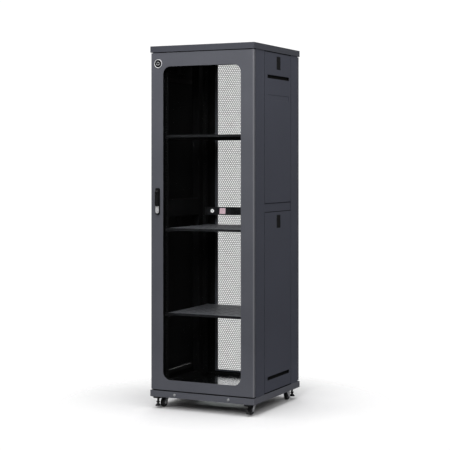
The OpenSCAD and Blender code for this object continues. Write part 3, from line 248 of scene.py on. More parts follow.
# ---------------------------------------------------------------- floor sheet
# A loose sheet laid over the sill between the posts, with a cut-out where cables come up.
# Galvanised steel left bare, with the faint frost-like spangle of hot dipping.
def galvanised_sheet():
    """Bare hot-dipped zinc: small crystals of slightly different tone, smeared gloss."""
    material = bpy.data.materials.new("galvanised_sheet")
    material.use_nodes = True
    tree = material.node_tree
    shader = tree.nodes["Principled BSDF"]
    where = add_node(tree, "ShaderNodeTexCoord")
    spangle = add_node(
        tree, "ShaderNodeTexVoronoi", {"Vector": where.outputs["Object"], "Scale": 90.0},
    )
    smear = add_node(
        tree, "ShaderNodeTexNoise", {"Vector": where.outputs["Object"], "Scale": 14.0, "Detail": 5.0},
    )
    split = add_node(tree, "ShaderNodeSeparateColor", {0: spangle.outputs["Color"]})
    tone = blended(tree, split.outputs[0], (0.70, 0.71, 0.72, 1), (0.82, 0.82, 0.83, 1))
    rough = rescaled(tree, smear.outputs["Fac"], (0.3, 0.7), (0.13, 0.22))
    relief = add_node(
        tree, "ShaderNodeBump",
        {"Height": spangle.outputs["Distance"], "Strength": 0.05, "Distance": 0.0002},
    )
    tree.links.new(tone, shader.inputs["Base Color"])
    tree.links.new(rough, shader.inputs["Roughness"])
    tree.links.new(relief.outputs["Normal"], shader.inputs["Normal"])
    shader.inputs["Metallic"].default_value = 1.0
    return material


finish_nodes(galvanised_sheet(), "floor_panel")

# ---------------------------------------------------------------- rack rails and shelves
# Four upright rails with three square holes to every unit, and three shelves screwed to
# them. Both are folded steel sheet; the rails are coated black, the shelves grey, with every
# face that doesn't face up painted near black as shade.
shelf_grey = (0.135, 0.135, 0.148)
rail_black = (0.006, 0.006, 0.0065)
shelf_painted_shade = (0.016, 0.016, 0.018)
black_coat = coated("rail_coat", rail_black, gloss=0.5, edge_colour=(0.02, 0.02, 0.022))
shelf_coat = coated("shelf_coat", shelf_grey, gloss=0.5, edge_colour=(0.20, 0.20, 0.21))
# Painted shade: every shelf face except the upward ones takes the near-black shade colour.
tree = shelf_coat.node_tree
shader = tree.nodes["Principled BSDF"]
side = add_node(tree, "ShaderNodeTexCoord")
side_z = add_node(tree, "ShaderNodeSeparateXYZ", {0: side.outputs["Normal"]})
upper = worked(tree, "GREATER_THAN", side_z.outputs["Z"], 0.5)
top_paint = shader.inputs["Base Color"].links[0].from_socket
shaded_shelf_paint = blended(tree, upper, (*shelf_painted_shade, 1.0), top_paint)
tree.links.new(shaded_shelf_paint, shader.inputs["Base Color"])
finish_nodes(
    black_coat, "rack_rail_front_left", "rack_rail_front_right", "rack_rail_rear_left",
    "rack_rail_rear_right",
)
finish_nodes(shelf_coat, "shelf_upper", "shelf_middle", "shelf_lower")

# ---------------------------------------------------------------- screws, nuts and pins
# Pan-head machine screws in cage nuts, the plinth's screws and the stepped hinge pins.
# Turned and pressed steel: the nuts and the plinth's screws have a bright zinc plate gone
# slightly milky, the rail screws and the pins a black one.
def plated(name, colour, gloss=0.3, metal=1.0, edge=0.0003):
    """Zinc-plated or burnished metal with cloudy roughness and softened edges."""
    material = bpy.data.materials.new(name)
    material.use_nodes = True
    tree = material.node_tree
    shader = tree.nodes["Principled BSDF"]
    where = add_node(tree, "ShaderNodeTexCoord")
    edges = use_group(tree, soft_edge, {"Radius": edge, "Break Up": 200.0})
    cloud = add_node(
        tree, "ShaderNodeTexNoise", {"Vector": where.outputs["Object"], "Scale": 160.0, "Detail": 5.0},
    )
    rough = rescaled(tree, cloud.outputs["Fac"], (0.3, 0.7), (gloss - 0.07, gloss + 0.12))
    milky = tuple(0.82 * part for part in colour)
    tone = blended(tree, cloud.outputs["Fac"], (*colour, 1.0), (*milky, 1.0))
    scratch = add_node(
        tree, "ShaderNodeBump",
        {"Height": cloud.outputs["Fac"], "Strength": 0.08, "Distance": 0.0002,
         "Normal": edges.outputs["Normal"]},
    )
    tree.links.new(tone, shader.inputs["Base Color"])
    tree.links.new(rough, shader.inputs["Roughness"])
    tree.links.new(scratch.outputs["Normal"], shader.inputs["Normal"])
    shader.inputs["Metallic"].default_value = metal
    return material


zinc_plate = plated("zinc_plate", (0.62, 0.63, 0.62))
black_zinc = plated("black_zinc", (0.030, 0.030, 0.033), gloss=0.45)
screw_zinc = plated("screw_zinc", (0.42, 0.43, 0.44), gloss=0.4, metal=0.4)
finish_nodes(zinc_plate, "cage_nuts")
finish_nodes(black_zinc, "front_hinge_pins", "rear_hinge_pins")
finish_nodes(screw_zinc, "screws")

# The rail screws are black, the plinth's screws under them are left bright
plinth_screws_below = 0.12
screw_black = (0.014, 0.014, 0.015)
tree = screw_zinc.node_tree
shader = tree.nodes["Principled BSDF"]
where = add_node(tree, "ShaderNodeTexCoord")
split = add_node(tree, "ShaderNodeSeparateXYZ", {0: where.outputs["Object"]})
above = worked(tree, "GREATER_THAN", split.outputs["Z"], plinth_screws_below)
bright_tone = shader.inputs["Base Color"].links[0].from_socket
screw_tone = blended(tree, above, bright_tone, (*screw_black, 1.0))
tree.links.new(screw_tone, shader.inputs["Base Color"])

# ---------------------------------------------------------------- power strip
# An aluminium extrusion across the rear rails with a lit rocker, a reset button in a white
# collar and a row of outlets. The body is satin black, the fittings are moulded plastic
# clipped in from the front.
def moulded(name, colour, gloss=0.45, grain=700.0, relief=0.15, shine=0.3, glow=None):
    """Injection-moulded plastic with a fine spark-eroded grain; glow is the rocker's lamp, or painted
    light on the reset collar.
    """
    material = bpy.data.materials.new(name)
    material.use_nodes = True
    tree = material.node_tree
    shader = tree.nodes["Principled BSDF"]
    where = add_node(tree, "ShaderNodeTexCoord")
    edges = use_group(tree, soft_edge, {"Radius": 0.0006, "Break Up": 150.0})
    pits = add_node(
        tree, "ShaderNodeTexNoise", {"Vector": where.outputs["Object"], "Scale": grain, "Detail": 2.0},
    )
    flow = add_node(
        tree, "ShaderNodeTexNoise", {"Vector": where.outputs["Object"], "Scale": 22.0, "Detail": 3.0},
    )
    rough = rescaled(tree, flow.outputs["Fac"], (0.3, 0.7), (gloss - 0.05, gloss + 0.07))
    paler = tuple(min(1.0, 1.35 * part + 0.004) for part in colour)
    tone = blended(tree, flow.outputs["Fac"], (*colour, 1.0), (*paler, 1.0))
    # Edges paler than the plastic: a painted highlight.
    painted_edge_tone = blended(
        tree, edges.outputs["Edge"], tone,
        (*(min(1.0, 1.6 * part + 0.01) for part in colour), 1.0),
    )
    bump = add_node(
        tree, "ShaderNodeBump",
        {"Height": pits.outputs["Fac"], "Strength": relief, "Distance": 0.0002,
         "Normal": edges.outputs["Normal"]},
    )
    tree.links.new(painted_edge_tone, shader.inputs["Base Color"])
    tree.links.new(rough, shader.inputs["Roughness"])
    tree.links.new(bump.outputs["Normal"], shader.inputs["Normal"])
    shader.inputs["Specular IOR Level"].default_value = shine
    if glow:
        shader.inputs["Emission Color"].default_value = (*glow[0], 1.0)
        shader.inputs["Emission Strength"].default_value = glow[1]
    return material


def piece_of(name, shape):
    """The finished shape as a mesh object in the scene."""
    mesh = bpy.data.meshes.new(name)
    shape.to_mesh(mesh)
    shape.free()
    piece = bpy.data.objects.new(name, mesh)
    bpy.context.scene.collection.objects.link(piece)
    return piece


def turned(name, profile, centre, axis, steps=64, closed=True):
    """A turned piece: the profile of (radius, distance along the axis), swept round it."""
    shape = bmesh.new()
    rings = []
    for turn in range(steps):
        angle = 2 * math.pi * turn / steps
        ring = []
        for radius, along_axis in profile:
            spot = (radius * math.cos(angle), radius * math.sin(angle), along_axis)
            ring.append(shape.verts.new(spot))
        rings.append(ring)
    count = len(profile)
    last = count if closed else count - 1
    for turn in range(steps):
        here, there = rings[turn], rings[(turn + 1) % steps]
        for i in range(last):
            j = (i + 1) % count
            shape.faces.new((here[i], there[i], there[j], here[j]))
    bmesh.ops.remove_doubles(shape, verts=shape.verts, dist=1e-7)
    bmesh.ops.dissolve_degenerate(shape, edges=shape.edges, dist=1e-8)
    bmesh.ops.recalc_face_normals(shape, faces=shape.faces)
    place = Vector(axis).to_track_quat("Z", "Y").to_matrix().to_4x4()
    shape.transform(Matrix.Translation(Vector(centre)) @ place)
    piece = piece_of(name, shape)
    for face in piece.data.polygons:
        face.use_smooth = True
    piece.data.set_sharp_from_angle(angle=math.radians(35))
    return piece


strip_black = coated("strip_coat", (0.028, 0.028, 0.031), gloss=0.38, edge=0.0005)
outlet_black = moulded("outlet_plastic", (0.010, 0.010, 0.011), gloss=0.4)
# The reset collar glows with painted light; it holds no lamp.
collar_painted_light = moulded("collar_plastic", (0.88, 0.88, 0.87), gloss=0.3, glow=((1.0, 1.0, 1.0), 0.75))
button_white = moulded("button_plastic", (0.80, 0.80, 0.80), gloss=0.3)
rocker_red = moulded(
    "rocker_plastic", (0.80, 0.40, 0.46), gloss=0.22, relief=0.03, glow=((0.9, 0.88, 0.96), 0.29),
)
finish_nodes(strip_black, "strip_body")
finish_nodes(outlet_black, "strip_outlets")
finish_nodes(button_white, "strip_reset_button")
finish_nodes(rocker_red, "strip_switch")

button_low, button_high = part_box("strip_reset_button")
button_middle = (button_low + button_high) / 2
collar_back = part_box("strip_body")[0].y + 0.0022
collar = turned(
    "reset_collar",
    [(0.0055, 0.0), (0.0055, 0.0032), (0.0062, 0.0042), (0.0078, 0.0042), (0.0094, 0.0030),
     (0.0098, 0.0)],
    (button_middle.x, collar_back, button_middle.z), (0, -1, 0),
)
collar.data.materials.append(collar_painted_light)
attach(collar, "cabinet")

# ---------------------------------------------------------------- castors
# Four swivel castors under the corner plates: a zinc-plated pressed fork on a kingpin, and
# a nylon wheel centre with a moulded rubber tread, on a riveted axle.
castor_zinc = plated("castor_zinc", (0.72, 0.73, 0.75), gloss=0.4, metal=0.3)
finish_nodes(castor_zinc, "castor_plates")
finish_nodes(
    castor_zinc, "castor_fork_front_left", "castor_fork_front_right", "castor_fork_rear_left",
    "castor_fork_rear_right",
)
tread_rubber = moulded("tread_rubber", (0.016, 0.016, 0.017), gloss=0.62, grain=260.0, relief=0.3)
wheel_nylon = moulded("wheel_nylon", (0.07, 0.07, 0.075), gloss=0.4)
bore = 0.00405
half = 0.009
for corner in ("front_left", "front_right", "rear_left", "rear_right"):
    low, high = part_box("castor_wheel_" + corner)
    middle = (low + high) / 2
    rim = (high.z - low.z) / 2
    hub = (high.x - low.x) / 2
    tread = turned(
        "wheel_tread_" + corner,
        [(rim - 0.006, -half + 0.001), (rim - 0.0042, -half), (rim - 0.0022, -half + 0.0002),
         (rim - 0.0006, -half + 0.0018), (rim, -half + 0.0042), (rim, -0.0012),
         (rim - 0.0008, -0.0006), (rim - 0.0008, 0.0006), (rim, 0.0012), (rim, half - 0.0042),
         (rim - 0.0006, half - 0.0018), (rim - 0.0022, half - 0.0002), (rim - 0.0042, half),
         (rim - 0.006, half - 0.001)],
        middle, (1, 0, 0), steps=72,
    )
    tread.data.materials.append(tread_rubber)
    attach(tread, "wheel_" + corner)
    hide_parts("castor_wheel_" + corner)
    centre = turned(
        "wheel_centre_" + corner,
        [(bore, -hub), (0.0074, -hub), (0.0080, -hub + 0.0006), (0.0080, -half + 0.0026),
         (0.0105, -half + 0.0034), (rim - 0.0085, -half + 0.0034), (rim - 0.0068, -half + 0.0016),
         (rim - 0.0056, -half + 0.0016), (rim - 0.0056, half - 0.0016),
         (rim - 0.0068, half - 0.0016), (rim - 0.0085, half - 0.0034), (0.0105, half - 0.0034),
         (0.0080, half - 0.0026), (0.0080, hub - 0.0006), (0.0074, hub), (bore, hub)],
        middle, (1, 0, 0),
    )
    centre.data.materials.append(wheel_nylon)
    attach(centre, "wheel_" + corner)

# ---------------------------------------------------------------- levelling feet
# Four screw feet in tapped blocks under the corners: an M12 stem with a rolled thread, a
# lock nut and a pressed pad. All blackened steel with an oily sheen.
black_steel = coated("black_steel", (0.010, 0.010, 0.011), gloss=0.36, edge=0.0005)
block_black = coated("block_black", (0.008, 0.008, 0.008), gloss=0.5, edge=0.0006)
finish_nodes(block_black, "foot_plates")
thread_pitch = 0.00175
stem = 0.006
nut_corner = 0.010
nut_height = 0.006
nut_middle = 0.021
for corner in ("front_left", "front_right", "rear_left", "rear_right"):
    low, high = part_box("foot_" + corner)
    middle = (low + high) / 2
    pad = (high.x - low.x) / 2
    outline = [(0.0, 0.0), (pad - 0.0016, 0.0), (pad - 0.0004, 0.0006), (pad, 0.0018),
               (pad, 0.0034), (pad - 0.0010, 0.0044), (0.0098, 0.0086), (0.0084, 0.0104),
               (0.0080, 0.0120), (stem, 0.0124)]
    along_stem = 0.0134
    while along_stem + thread_pitch < high.z - low.z - 0.0015:
        crest = along_stem + thread_pitch / 2
        outline += [(stem - 0.0008, along_stem), (stem - 0.0008, along_stem + 0.0002),
                    (stem, crest), (stem, crest + 0.0002)]
        along_stem += thread_pitch
    outline += [(stem - 0.0009, along_stem + 0.0004), (stem - 0.0012, high.z - low.z),
                (0.0, high.z - low.z)]
    foot = turned("foot_" + corner + "_turned", outline, (middle.x, middle.y, low.z), (0, 0, 1),
                  steps=40, closed=False)
    nut = bmesh.new()
    bmesh.ops.create_cone(
        nut, cap_ends=True, segments=6, radius1=nut_corner, radius2=nut_corner, depth=nut_height,
    )
    bmesh.ops.bevel(nut, geom=nut.edges[:], offset=0.0006, segments=2, affect="EDGES")
    nut.transform(Matrix.Translation((middle.x, middle.y, low.z + nut_middle)))
    nut.from_mesh(foot.data)
    nut.to_mesh(foot.data)
    nut.free()
    foot.data.materials.append(black_steel)
    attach(foot, "foot_" + corner)
    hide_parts("foot_" + corner)

# ---------------------------------------------------------------- front door
# A folded steel tray with rounded upright edges, and a toughened glass pane bedded in it
# on a rubber seal. Fine textured charcoal powder coat outside; the inner faces are painted
# black as shade.
door_inside = (0.2952, 0.2960, any_height)
# Colour of the painted highlight on the doors' rounded upright edges.
corner_highlight_paint = (0.165, 0.167, 0.182)
door_coat = coated("door_coat", charcoal, gloss=0.40, inside=door_inside, edge=0.0014)


def paint_corner_highlight(material, paler):
    """A painted highlight along the rounded upright edges, where they would catch the light."""
    tree = material.node_tree
    shader = tree.nodes["Principled BSDF"]
    facing = add_node(tree, "ShaderNodeTexCoord")
    split = add_node(tree, "ShaderNodeSeparateXYZ", {0: facing.outputs["Normal"]})
    both = worked(tree, "MULTIPLY", split.outputs["X"], split.outputs["Y"])
    size = worked(tree, "ABSOLUTE", both)
    corner_highlit = rescaled(tree, size, (0.12, 0.45), (0.0, 1.0))
    paint = shader.inputs["Base Color"].links[0].from_socket
    mixed = blended(tree, corner_highlit, paint, (*paler, 1.0))
    tree.links.new(mixed, shader.inputs["Base Color"])


paint_corner_highlight(door_coat, corner_highlight_paint)
finish_nodes(door_coat, "front_door_frame")
seal_rubber = moulded("seal_rubber", (0.008, 0.008, 0.008), gloss=0.7, grain=400.0)
finish_nodes(seal_rubber, "glass_seal")


def toughened_glass():
    """Clear glass, faintly smeared; light and shadow pass straight through it."""
    material = bpy.data.materials.new("toughened_glass")
    material.use_nodes = True
    tree = material.node_tree
    shader = tree.nodes["Principled BSDF"]
    where = add_node(tree, "ShaderNodeTexCoord")
    film = add_node(
        tree, "ShaderNodeTexNoise", {"Vector": where.outputs["Object"], "Scale": 5.0, "Detail": 6.0},
    )
    tint = blended(
        tree, film.outputs["Fac"], (0.925, 0.932, 0.930, 1.0), (0.895, 0.902, 0.90, 1.0),
    )
    wiped = rescaled(tree, film.outputs["Fac"], (0.45, 0.8), (0.0, 0.035))
    tree.links.new(tint, shader.inputs["Base Color"])
    tree.links.new(wiped, shader.inputs["Roughness"])
    shader.inputs["Transmission Weight"].default_value = 1.0
    shader.inputs["IOR"].default_value = 1.45
    shader.inputs["Specular IOR Level"].default_value = 0.1
    clear = add_node(tree, "ShaderNodeBsdfTransparent", {"Color": (0.86, 0.88, 0.88, 1.0)})
    path = add_node(tree, "ShaderNodeLightPath")
    lit_through = worked(
        tree, "MAXIMUM", path.outputs["Is Shadow Ray"], path.outputs["Is Diffuse Ray"],
    )
    either = add_node(
        tree, "ShaderNodeMixShader",
        {0: lit_through, 1: shader.outputs[0], 2: clear.outputs[0]},
    )
    tree.links.new(either.outputs[0], tree.nodes["Material Output"].inputs["Surface"])
    return material


finish_nodes(toughened_glass(), "front_glass")

# ---------------------------------------------------------------- badge
# A plain round badge pressed onto the door's corner: a silvered ring round a dark domed
# centre with a small raised ring. Moulded plastic, held by two pins from behind.
silver_ring = plated("badge_silver", (0.86, 0.87, 0.88), gloss=0.3, metal=0.15)
badge_black = moulded("badge_centre", (0.006, 0.006, 0.007), gloss=0.18, relief=0.02)
low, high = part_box("door_badge")
badge_middle = (low + high) / 2
badge_radius = (high.x - low.x) / 2
badge_seat = (badge_middle.x, high.y, badge_middle.z)
ring = turned(
    "badge_ring",
    [(badge_radius - 0.0038, 0.0), (badge_radius - 0.0004, 0.0), (badge_radius, 0.0004),
     (badge_radius - 0.0003, 0.0016), (badge_radius - 0.0011, 0.0024),
     (badge_radius - 0.0026, 0.0024), (badge_radius - 0.0033, 0.0017),
     (badge_radius - 0.0038, 0.0008)],
    badge_seat, (0, -1, 0), steps=96,
)
ring.data.materials.append(silver_ring)
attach(ring, "front_door")
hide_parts("door_badge")
dome_radius = badge_radius - 0.0036
dome = turned(
    "badge_dome",
    [(0.0, 0.0), (dome_radius, 0.0), (dome_radius, 0.0009), (0.8 * dome_radius, 0.0014),
     (0.5 * dome_radius, 0.0018), (0.25 * dome_radius, 0.0020), (0.0, 0.0020)],
    badge_seat, (0, -1, 0), steps=96, closed=False,
)
dome.data.materials.append(badge_black)
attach(dome, "front_door")
inner_ring = turned(
    "badge_inner_ring",
    [(0.0068, 0.0012), (0.0084, 0.0012), (0.0086, 0.0018), (0.0082, 0.0022), (0.0070, 0.0022),
     (0.0066, 0.0018)],
    badge_seat, (0, -1, 0), steps=72,
)
inner_ring.data.materials.append(silver_ring)
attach(inner_ring, "front_door")

# ---------------------------------------------------------------- swing handles
# A long plate screwed through each door, a forked lever that lifts and turns a spindle
# with a cam, and on the front a key lock under a bright cover. Glass-filled nylon and
# black die casting; the cover is satin chrome.
handle_black = moulded("handle_nylon", (0.005, 0.005, 0.0055), gloss=0.5, grain=520.0, shine=0.15)
spindle_black = plated("spindle_casting", (0.012, 0.012, 0.013), gloss=0.5, metal=0.2)
lock_chrome = plated("lock_chrome", (0.86, 0.86, 0.88), gloss=0.34, metal=0.35)
finish_nodes(
    handle_black, "front_handle_housing", "front_handle_lever", "rear_handle_housing",
    "rear_handle_lever",
)
finish_nodes(spindle_black, "front_handle_spindle", "rear_handle_spindle")
finish_nodes(lock_chrome, "front_lock_cover", "front_lock_barrel")

# ---------------------------------------------------------------- rear door
# The same folded tray, with a sheet of hexagonal perforation welded behind its opening so
# that air passes through. Both are coated in the door's charcoal.
# The tray's inner faces are painted black as shade, and its rounded upright edges carry a painted
# highlight.
rear_coat = coated("rear_door_coat", charcoal, gloss=0.42, inside=door_inside, edge=0.0014)
paint_corner_highlight(rear_coat, corner_highlight_paint)
finish_nodes(rear_coat, "rear_door_frame")
mesh_coat = bpy.data.materials.new("mesh_coat")
mesh_coat.use_nodes = True
tree = mesh_coat.node_tree
coat = use_group(
    tree, powder_coat,
    {"Colour": (*charcoal, 1.0), "Gloss": 0.45, "Peel": 0.15,
     "Normal": add_node(tree, "ShaderNodeNewGeometry").outputs["Normal"]},
)
tree.links.new(coat.outputs["Colour"], tree.nodes["Principled BSDF"].inputs["Base Color"])
tree.links.new(coat.outputs["Roughness"], tree.nodes["Principled BSDF"].inputs["Roughness"])
tree.links.new(coat.outputs["Normal"], tree.nodes["Principled BSDF"].inputs["Normal"])

mesh_low, mesh_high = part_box("rear_mesh")
hole_pitch = 0.012
hole_flats = 0.0093
half_border = (mesh_high.y - mesh_low.y) / 2
sheet_half = half_border - 0.00005
row_step = hole_pitch * math.sqrt(3) / 2
sheet_middle_y = (mesh_high.y + mesh_low.y) / 2
open_half_w = 0.2035
open_half_h = (mesh_high.z - mesh_low.z) / 2 - 0.0045
open_middle_z = (mesh_high.z + mesh_low.z) / 2


def hexagon_cell():
    """One hexagon of sheet with a hexagonal hole: six facets, two faces and the hole's wall."""
    shape = bmesh.new()
    outer = hole_pitch / math.sqrt(3)
    inner = hole_flats / math.sqrt(3)
    rings = []
    for radius, level in ((outer, -sheet_half), (inner, -sheet_half), (inner, sheet_half),
                          (outer, sheet_half)):
        ring = []
        for corner in range(6):
            angle = math.radians(30 + 60 * corner)
            spot = (radius * math.cos(angle), level, radius * math.sin(angle))
            ring.append(shape.verts.new(spot))
        rings.append(ring)
    for first, second in ((0, 1), (1, 2), (2, 3)):
        for i in range(6):
            j = (i + 1) % 6
            shape.faces.new((rings[first][i], rings[first][j], rings[second][j], rings[second][i]))
    cell_mesh = bpy.data.meshes.new("hexagon_cell")
    shape.to_mesh(cell_mesh)
    shape.free()
    return bpy.data.objects.new("hexagon_cell", cell_mesh)


def repeat_tree(name, inputs):
    """An empty geometry node tree with named inputs for its sizes."""
    tree = bpy.data.node_groups.new(name, "GeometryNodeTree")
    for label, kind, value in inputs:
        socket = tree.interface.new_socket(label, in_out="INPUT", socket_type=kind)
        if value is not None:
            socket.default_value = value
    tree.interface.new_socket("Geometry", in_out="OUTPUT", socket_type="NodeSocketGeometry")
    return tree, tree.nodes.new("NodeGroupInput"), tree.nodes.new("NodeGroupOutput")


def grown(name, tree, values):
    """Runs a tree on a new object and keeps the result as a plain mesh."""
    piece = bpy.data.objects.new(name, bpy.data.meshes.new(name))
    bpy.context.scene.collection.objects.link(piece)
    modifier = piece.modifiers.new("repeat", "NODES")
    modifier.node_group = tree
    for item in tree.interface.items_tree:
        if item.item_type == "SOCKET" and item.in_out == "INPUT" and item.name in values:
            modifier[item.identifier] = values[item.name]
    bpy.context.view_layer.update()
    evaluated = piece.evaluated_get(bpy.context.evaluated_depsgraph_get())
    result = bpy.data.meshes.new_from_object(evaluated)
    piece.modifiers.clear()
    piece.data = result
    piece.data.name = name
    return piece


hex_sheet, ends_in, ends_out = repeat_tree(
    "hex_sheet",
    [("Cell", "NodeSocketObject", None), ("Columns", "NodeSocketInt", 10),
     ("Rows", "NodeSocketInt", 10), ("Pitch", "NodeSocketFloat", hole_pitch),
     ("Middle", "NodeSocketVector", (0.0, 0.0, 0.0)), ("First Row", "NodeSocketInt", 0),
     ("Finish", "NodeSocketMaterial", None)],
)
count = worked(hex_sheet, "MULTIPLY", ends_in.outputs["Columns"], ends_in.outputs["Rows"])
spots = add_node(hex_sheet, "GeometryNodePoints", {"Count": count})
index = add_node(hex_sheet, "GeometryNodeInputIndex")
row = worked(hex_sheet, "DIVIDE", index.outputs[0], ends_in.outputs["Columns"])
row_whole = worked(hex_sheet, "FLOOR", row)
column = worked(hex_sheet, "MODULO", index.outputs[0], ends_in.outputs["Columns"])
real_row = worked(hex_sheet, "ADD", row_whole, ends_in.outputs["First Row"])
odd = worked(hex_sheet, "MODULO", real_row, 2.0)
half_step = worked(hex_sheet, "MULTIPLY", odd, 0.5)
last_column = worked(hex_sheet, "SUBTRACT", ends_in.outputs["Columns"], 0.5)
middle_column = worked(hex_sheet, "MULTIPLY", last_column, 0.5)
step_x = worked(hex_sheet, "ADD", column, half_step)
from_middle = worked(hex_sheet, "SUBTRACT", step_x, middle_column)
place_x = worked(hex_sheet, "MULTIPLY", from_middle, ends_in.outputs["Pitch"])
row_pitch = worked(hex_sheet, "MULTIPLY", ends_in.outputs["Pitch"], math.sqrt(3) / 2)
place_z = worked(hex_sheet, "MULTIPLY", real_row, row_pitch)
place = add_node(hex_sheet, "ShaderNodeCombineXYZ", {"X": place_x, "Z": place_z})
shifted = add_node(
    hex_sheet, "ShaderNodeVectorMath", {0: place.outputs[0], 1: ends_in.outputs["Middle"]},
    operation="ADD",
)
laid = add_node(
    hex_sheet, "GeometryNodeSetPosition",
    {"Geometry": spots.outputs[0], "Position": shifted.outputs[0]},
)
cell_info = add_node(hex_sheet, "GeometryNodeObjectInfo", {"Object": ends_in.outputs["Cell"]})
cells = add_node(
    hex_sheet, "GeometryNodeInstanceOnPoints",
    {"Points": laid.outputs[0], "Instance": cell_info.outputs["Geometry"]},
)
real_cells = add_node(hex_sheet, "GeometryNodeRealizeInstances", {"Geometry": cells.outputs[0]})
welded = add_node(
    hex_sheet, "GeometryNodeMergeByDistance",
    {"Geometry": real_cells.outputs[0], "Distance": 0.00002},
)
painted = add_node(
    hex_sheet, "GeometryNodeSetMaterial",
    {"Geometry": welded.outputs[0], "Material": ends_in.outputs["Finish"]},
)
hex_sheet.links.new(painted.outputs[0], ends_out.inputs["Geometry"])

cell = hexagon_cell()
columns = int(2 * open_half_w / hole_pitch)
rows = int(2 * open_half_h / row_step)
rows_height = (rows - 1) * row_step
sheets = 3
rows_each = math.ceil(rows / sheets)
for part in range(sheets):
    first = part * rows_each
    piece = grown(
        "mesh_sheet_" + str(part + 1), hex_sheet,
        {"Cell": cell, "Columns": columns, "Rows": min(rows_each, rows - first),
         "Pitch": hole_pitch, "First Row": first, "Finish": mesh_coat,
         "Middle": (0.0, sheet_middle_y, open_middle_z - rows_height / 2)},
    )
    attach(piece, "rear_door")
    if part == 0:
        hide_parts("rear_mesh")
bpy.data.objects.remove(cell)

# The sheet's plain border, which laps just over the outermost holes
border = bmesh.new()
open_w = columns * hole_pitch / 2 - hole_pitch * 0.30
open_h = rows_height / 2 + hole_pitch * 0.12
outer_edge = (mesh_high.x, mesh_low.z, mesh_high.z)
inner_edge = (open_w, open_middle_z - open_h, open_middle_z + open_h)
border_rings = []
for (half_w, low_z, high_z), level in (
    (outer_edge, -half_border), (inner_edge, -half_border), (inner_edge, half_border),
    (outer_edge, half_border),
):
    corners = [(-half_w, low_z), (half_w, low_z), (half_w, high_z), (-half_w, high_z)]
    border_rings.append([border.verts.new((x, sheet_middle_y + level, z)) for x, z in corners])
for first in range(4):
    second = (first + 1) % 4
    for i in range(4):
        j = (i + 1) % 4
        border.faces.new((border_rings[first][i], border_rings[first][j], border_rings[second][j],
                          border_rings[second][i]))
bmesh.ops.recalc_face_normals(border, faces=border.faces)
border_piece = piece_of("mesh_border", border)
border_piece.data.materials.append(mesh_coat)
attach(border_piece, "rear_door")

# ---------------------------------------------------------------- door seals
# Black sponge rubber stuck to each door: a sweep under it that closes the gap above the
# base, short of the hinge blocks, and four strips on its folded lips that meet the posts.
sponge_rubber = moulded("sponge_rubber", (0.006, 0.006, 0.006), gloss=0.85, grain=600.0, relief=0.6)


def straight_strip(name, low, high, material):
    """A plain square-edged strip between two corners."""
    shape = bmesh.new()
    bmesh.ops.create_cube(shape, size=1.0)
    bmesh.ops.scale(shape, vec=high - low, verts=shape.verts)
    bmesh.ops.translate(shape, vec=(low + high) / 2, verts=shape.verts)
    piece = piece_of(name, shape)
    piece.data.materials.append(material)
    return piece


base_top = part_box("base_frame")[1].z
sweep_y = 0.283
sweep_half_x = 0.279
sweep_half_y = 0.0035
seal_face_y = 0.2769
seal_depth = 0.003
seal_near_x = 0.285
seal_far_x = 0.293
for door, toward in (("front", -1), ("rear", 1)):
    door_low, door_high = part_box(door + "_door_frame")
    middle_y = toward * sweep_y
    sweep = straight_strip(
        door + "_door_sweep",
        Vector((-sweep_half_x, middle_y - sweep_half_y, base_top + 0.0006)),
        Vector((sweep_half_x, middle_y + sweep_half_y, door_low.z + 0.0001)), sponge_rubber,
    )
    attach(sweep, door + "_door")
    lip_y = toward * seal_face_y
    near_y, far_y = sorted((lip_y, lip_y - toward * seal_depth))
    upright = (door_low.z + 0.002, door_high.z - 0.002)
    level_x = (-seal_near_x + 0.0002, seal_near_x - 0.0002)
    for edge, span_x, span_z in (
        ("left", (-seal_far_x, -seal_near_x), upright),
        ("right", (seal_near_x, seal_far_x), upright),
        ("lower", level_x, (door_low.z + 0.003, door_low.z + 0.011)),
        ("upper", level_x, (door_high.z - 0.011, door_high.z - 0.003)),
    ):
        strip = straight_strip(
            door + "_door_seal_" + edge, Vector((span_x[0], near_y, span_z[0])),
            Vector((span_x[1], far_y, span_z[1])), sponge_rubber,
        )
        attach(strip, door + "_door")

# ---------------------------------------------------------------- side panels
# Two folded panels to a side that stand on the base or the middle rail and lean in under a
# sprung slide latch. Powder coated like the frame, with a slotted vent that has a black
# foam filter pad behind it.
# Panel edges are painted dark as seam shade, and inner faces black as shade.
panel_coat = coated(
    "panel_coat", charcoal_dark, gloss=0.45, edge_colour=seam_shade,
    inside=(0.2960, 0.31, any_height), edge=0.0026,
)
finish_nodes(
    panel_coat, "side_panel_upper_left", "side_panel_upper_right", "side_panel_lower_left",
    "side_panel_lower_right",
)
latch_black = moulded("latch_plastic", (0.004, 0.004, 0.0045), gloss=0.55, shine=0.15)
finish_nodes(
    latch_black, "side_latch_upper_left", "side_latch_upper_right", "side_latch_lower_left",
    "side_latch_lower_right",
)

pad_half_height = 0.0105
pad_front_margin = 0.0345
pad_rear_margin = 0.0225
filter_foam = moulded("filter_foam", (0.004, 0.004, 0.004), gloss=0.8, grain=900.0, relief=0.8)
for level, vent_from, vent_z in (("upper", 1, -0.127), ("lower", 0, 0.069)):
    for side, toward in (("left", -1), ("right", 1)):
        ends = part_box("side_panel_" + level + "_" + side)
        inner_x = min(abs(ends[0].x), abs(ends[1].x))
        near_x, far_x = sorted((toward * (inner_x + 0.0001), toward * (inner_x + 0.0009)))
        middle_z = ends[vent_from].z + vent_z
        pad = straight_strip(
            "vent_filter_" + level + "_" + side,
            Vector((near_x, ends[0].y + pad_front_margin, middle_z - pad_half_height)),
            Vector((far_x, ends[1].y - pad_rear_margin, middle_z + pad_half_height)), filter_foam,
        )
        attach(pad, "panel_" + level + "_" + side)

# ---------------------------------------------------------------- cable entries
# A thin black nylon lining snapped into the cut edge of the roof's cable entry and of the
# floor sheet's, so that leads do not chafe on the bare sheet.
lining_nylon = moulded("lining_nylon", (0.010, 0.010, 0.011), gloss=0.5)


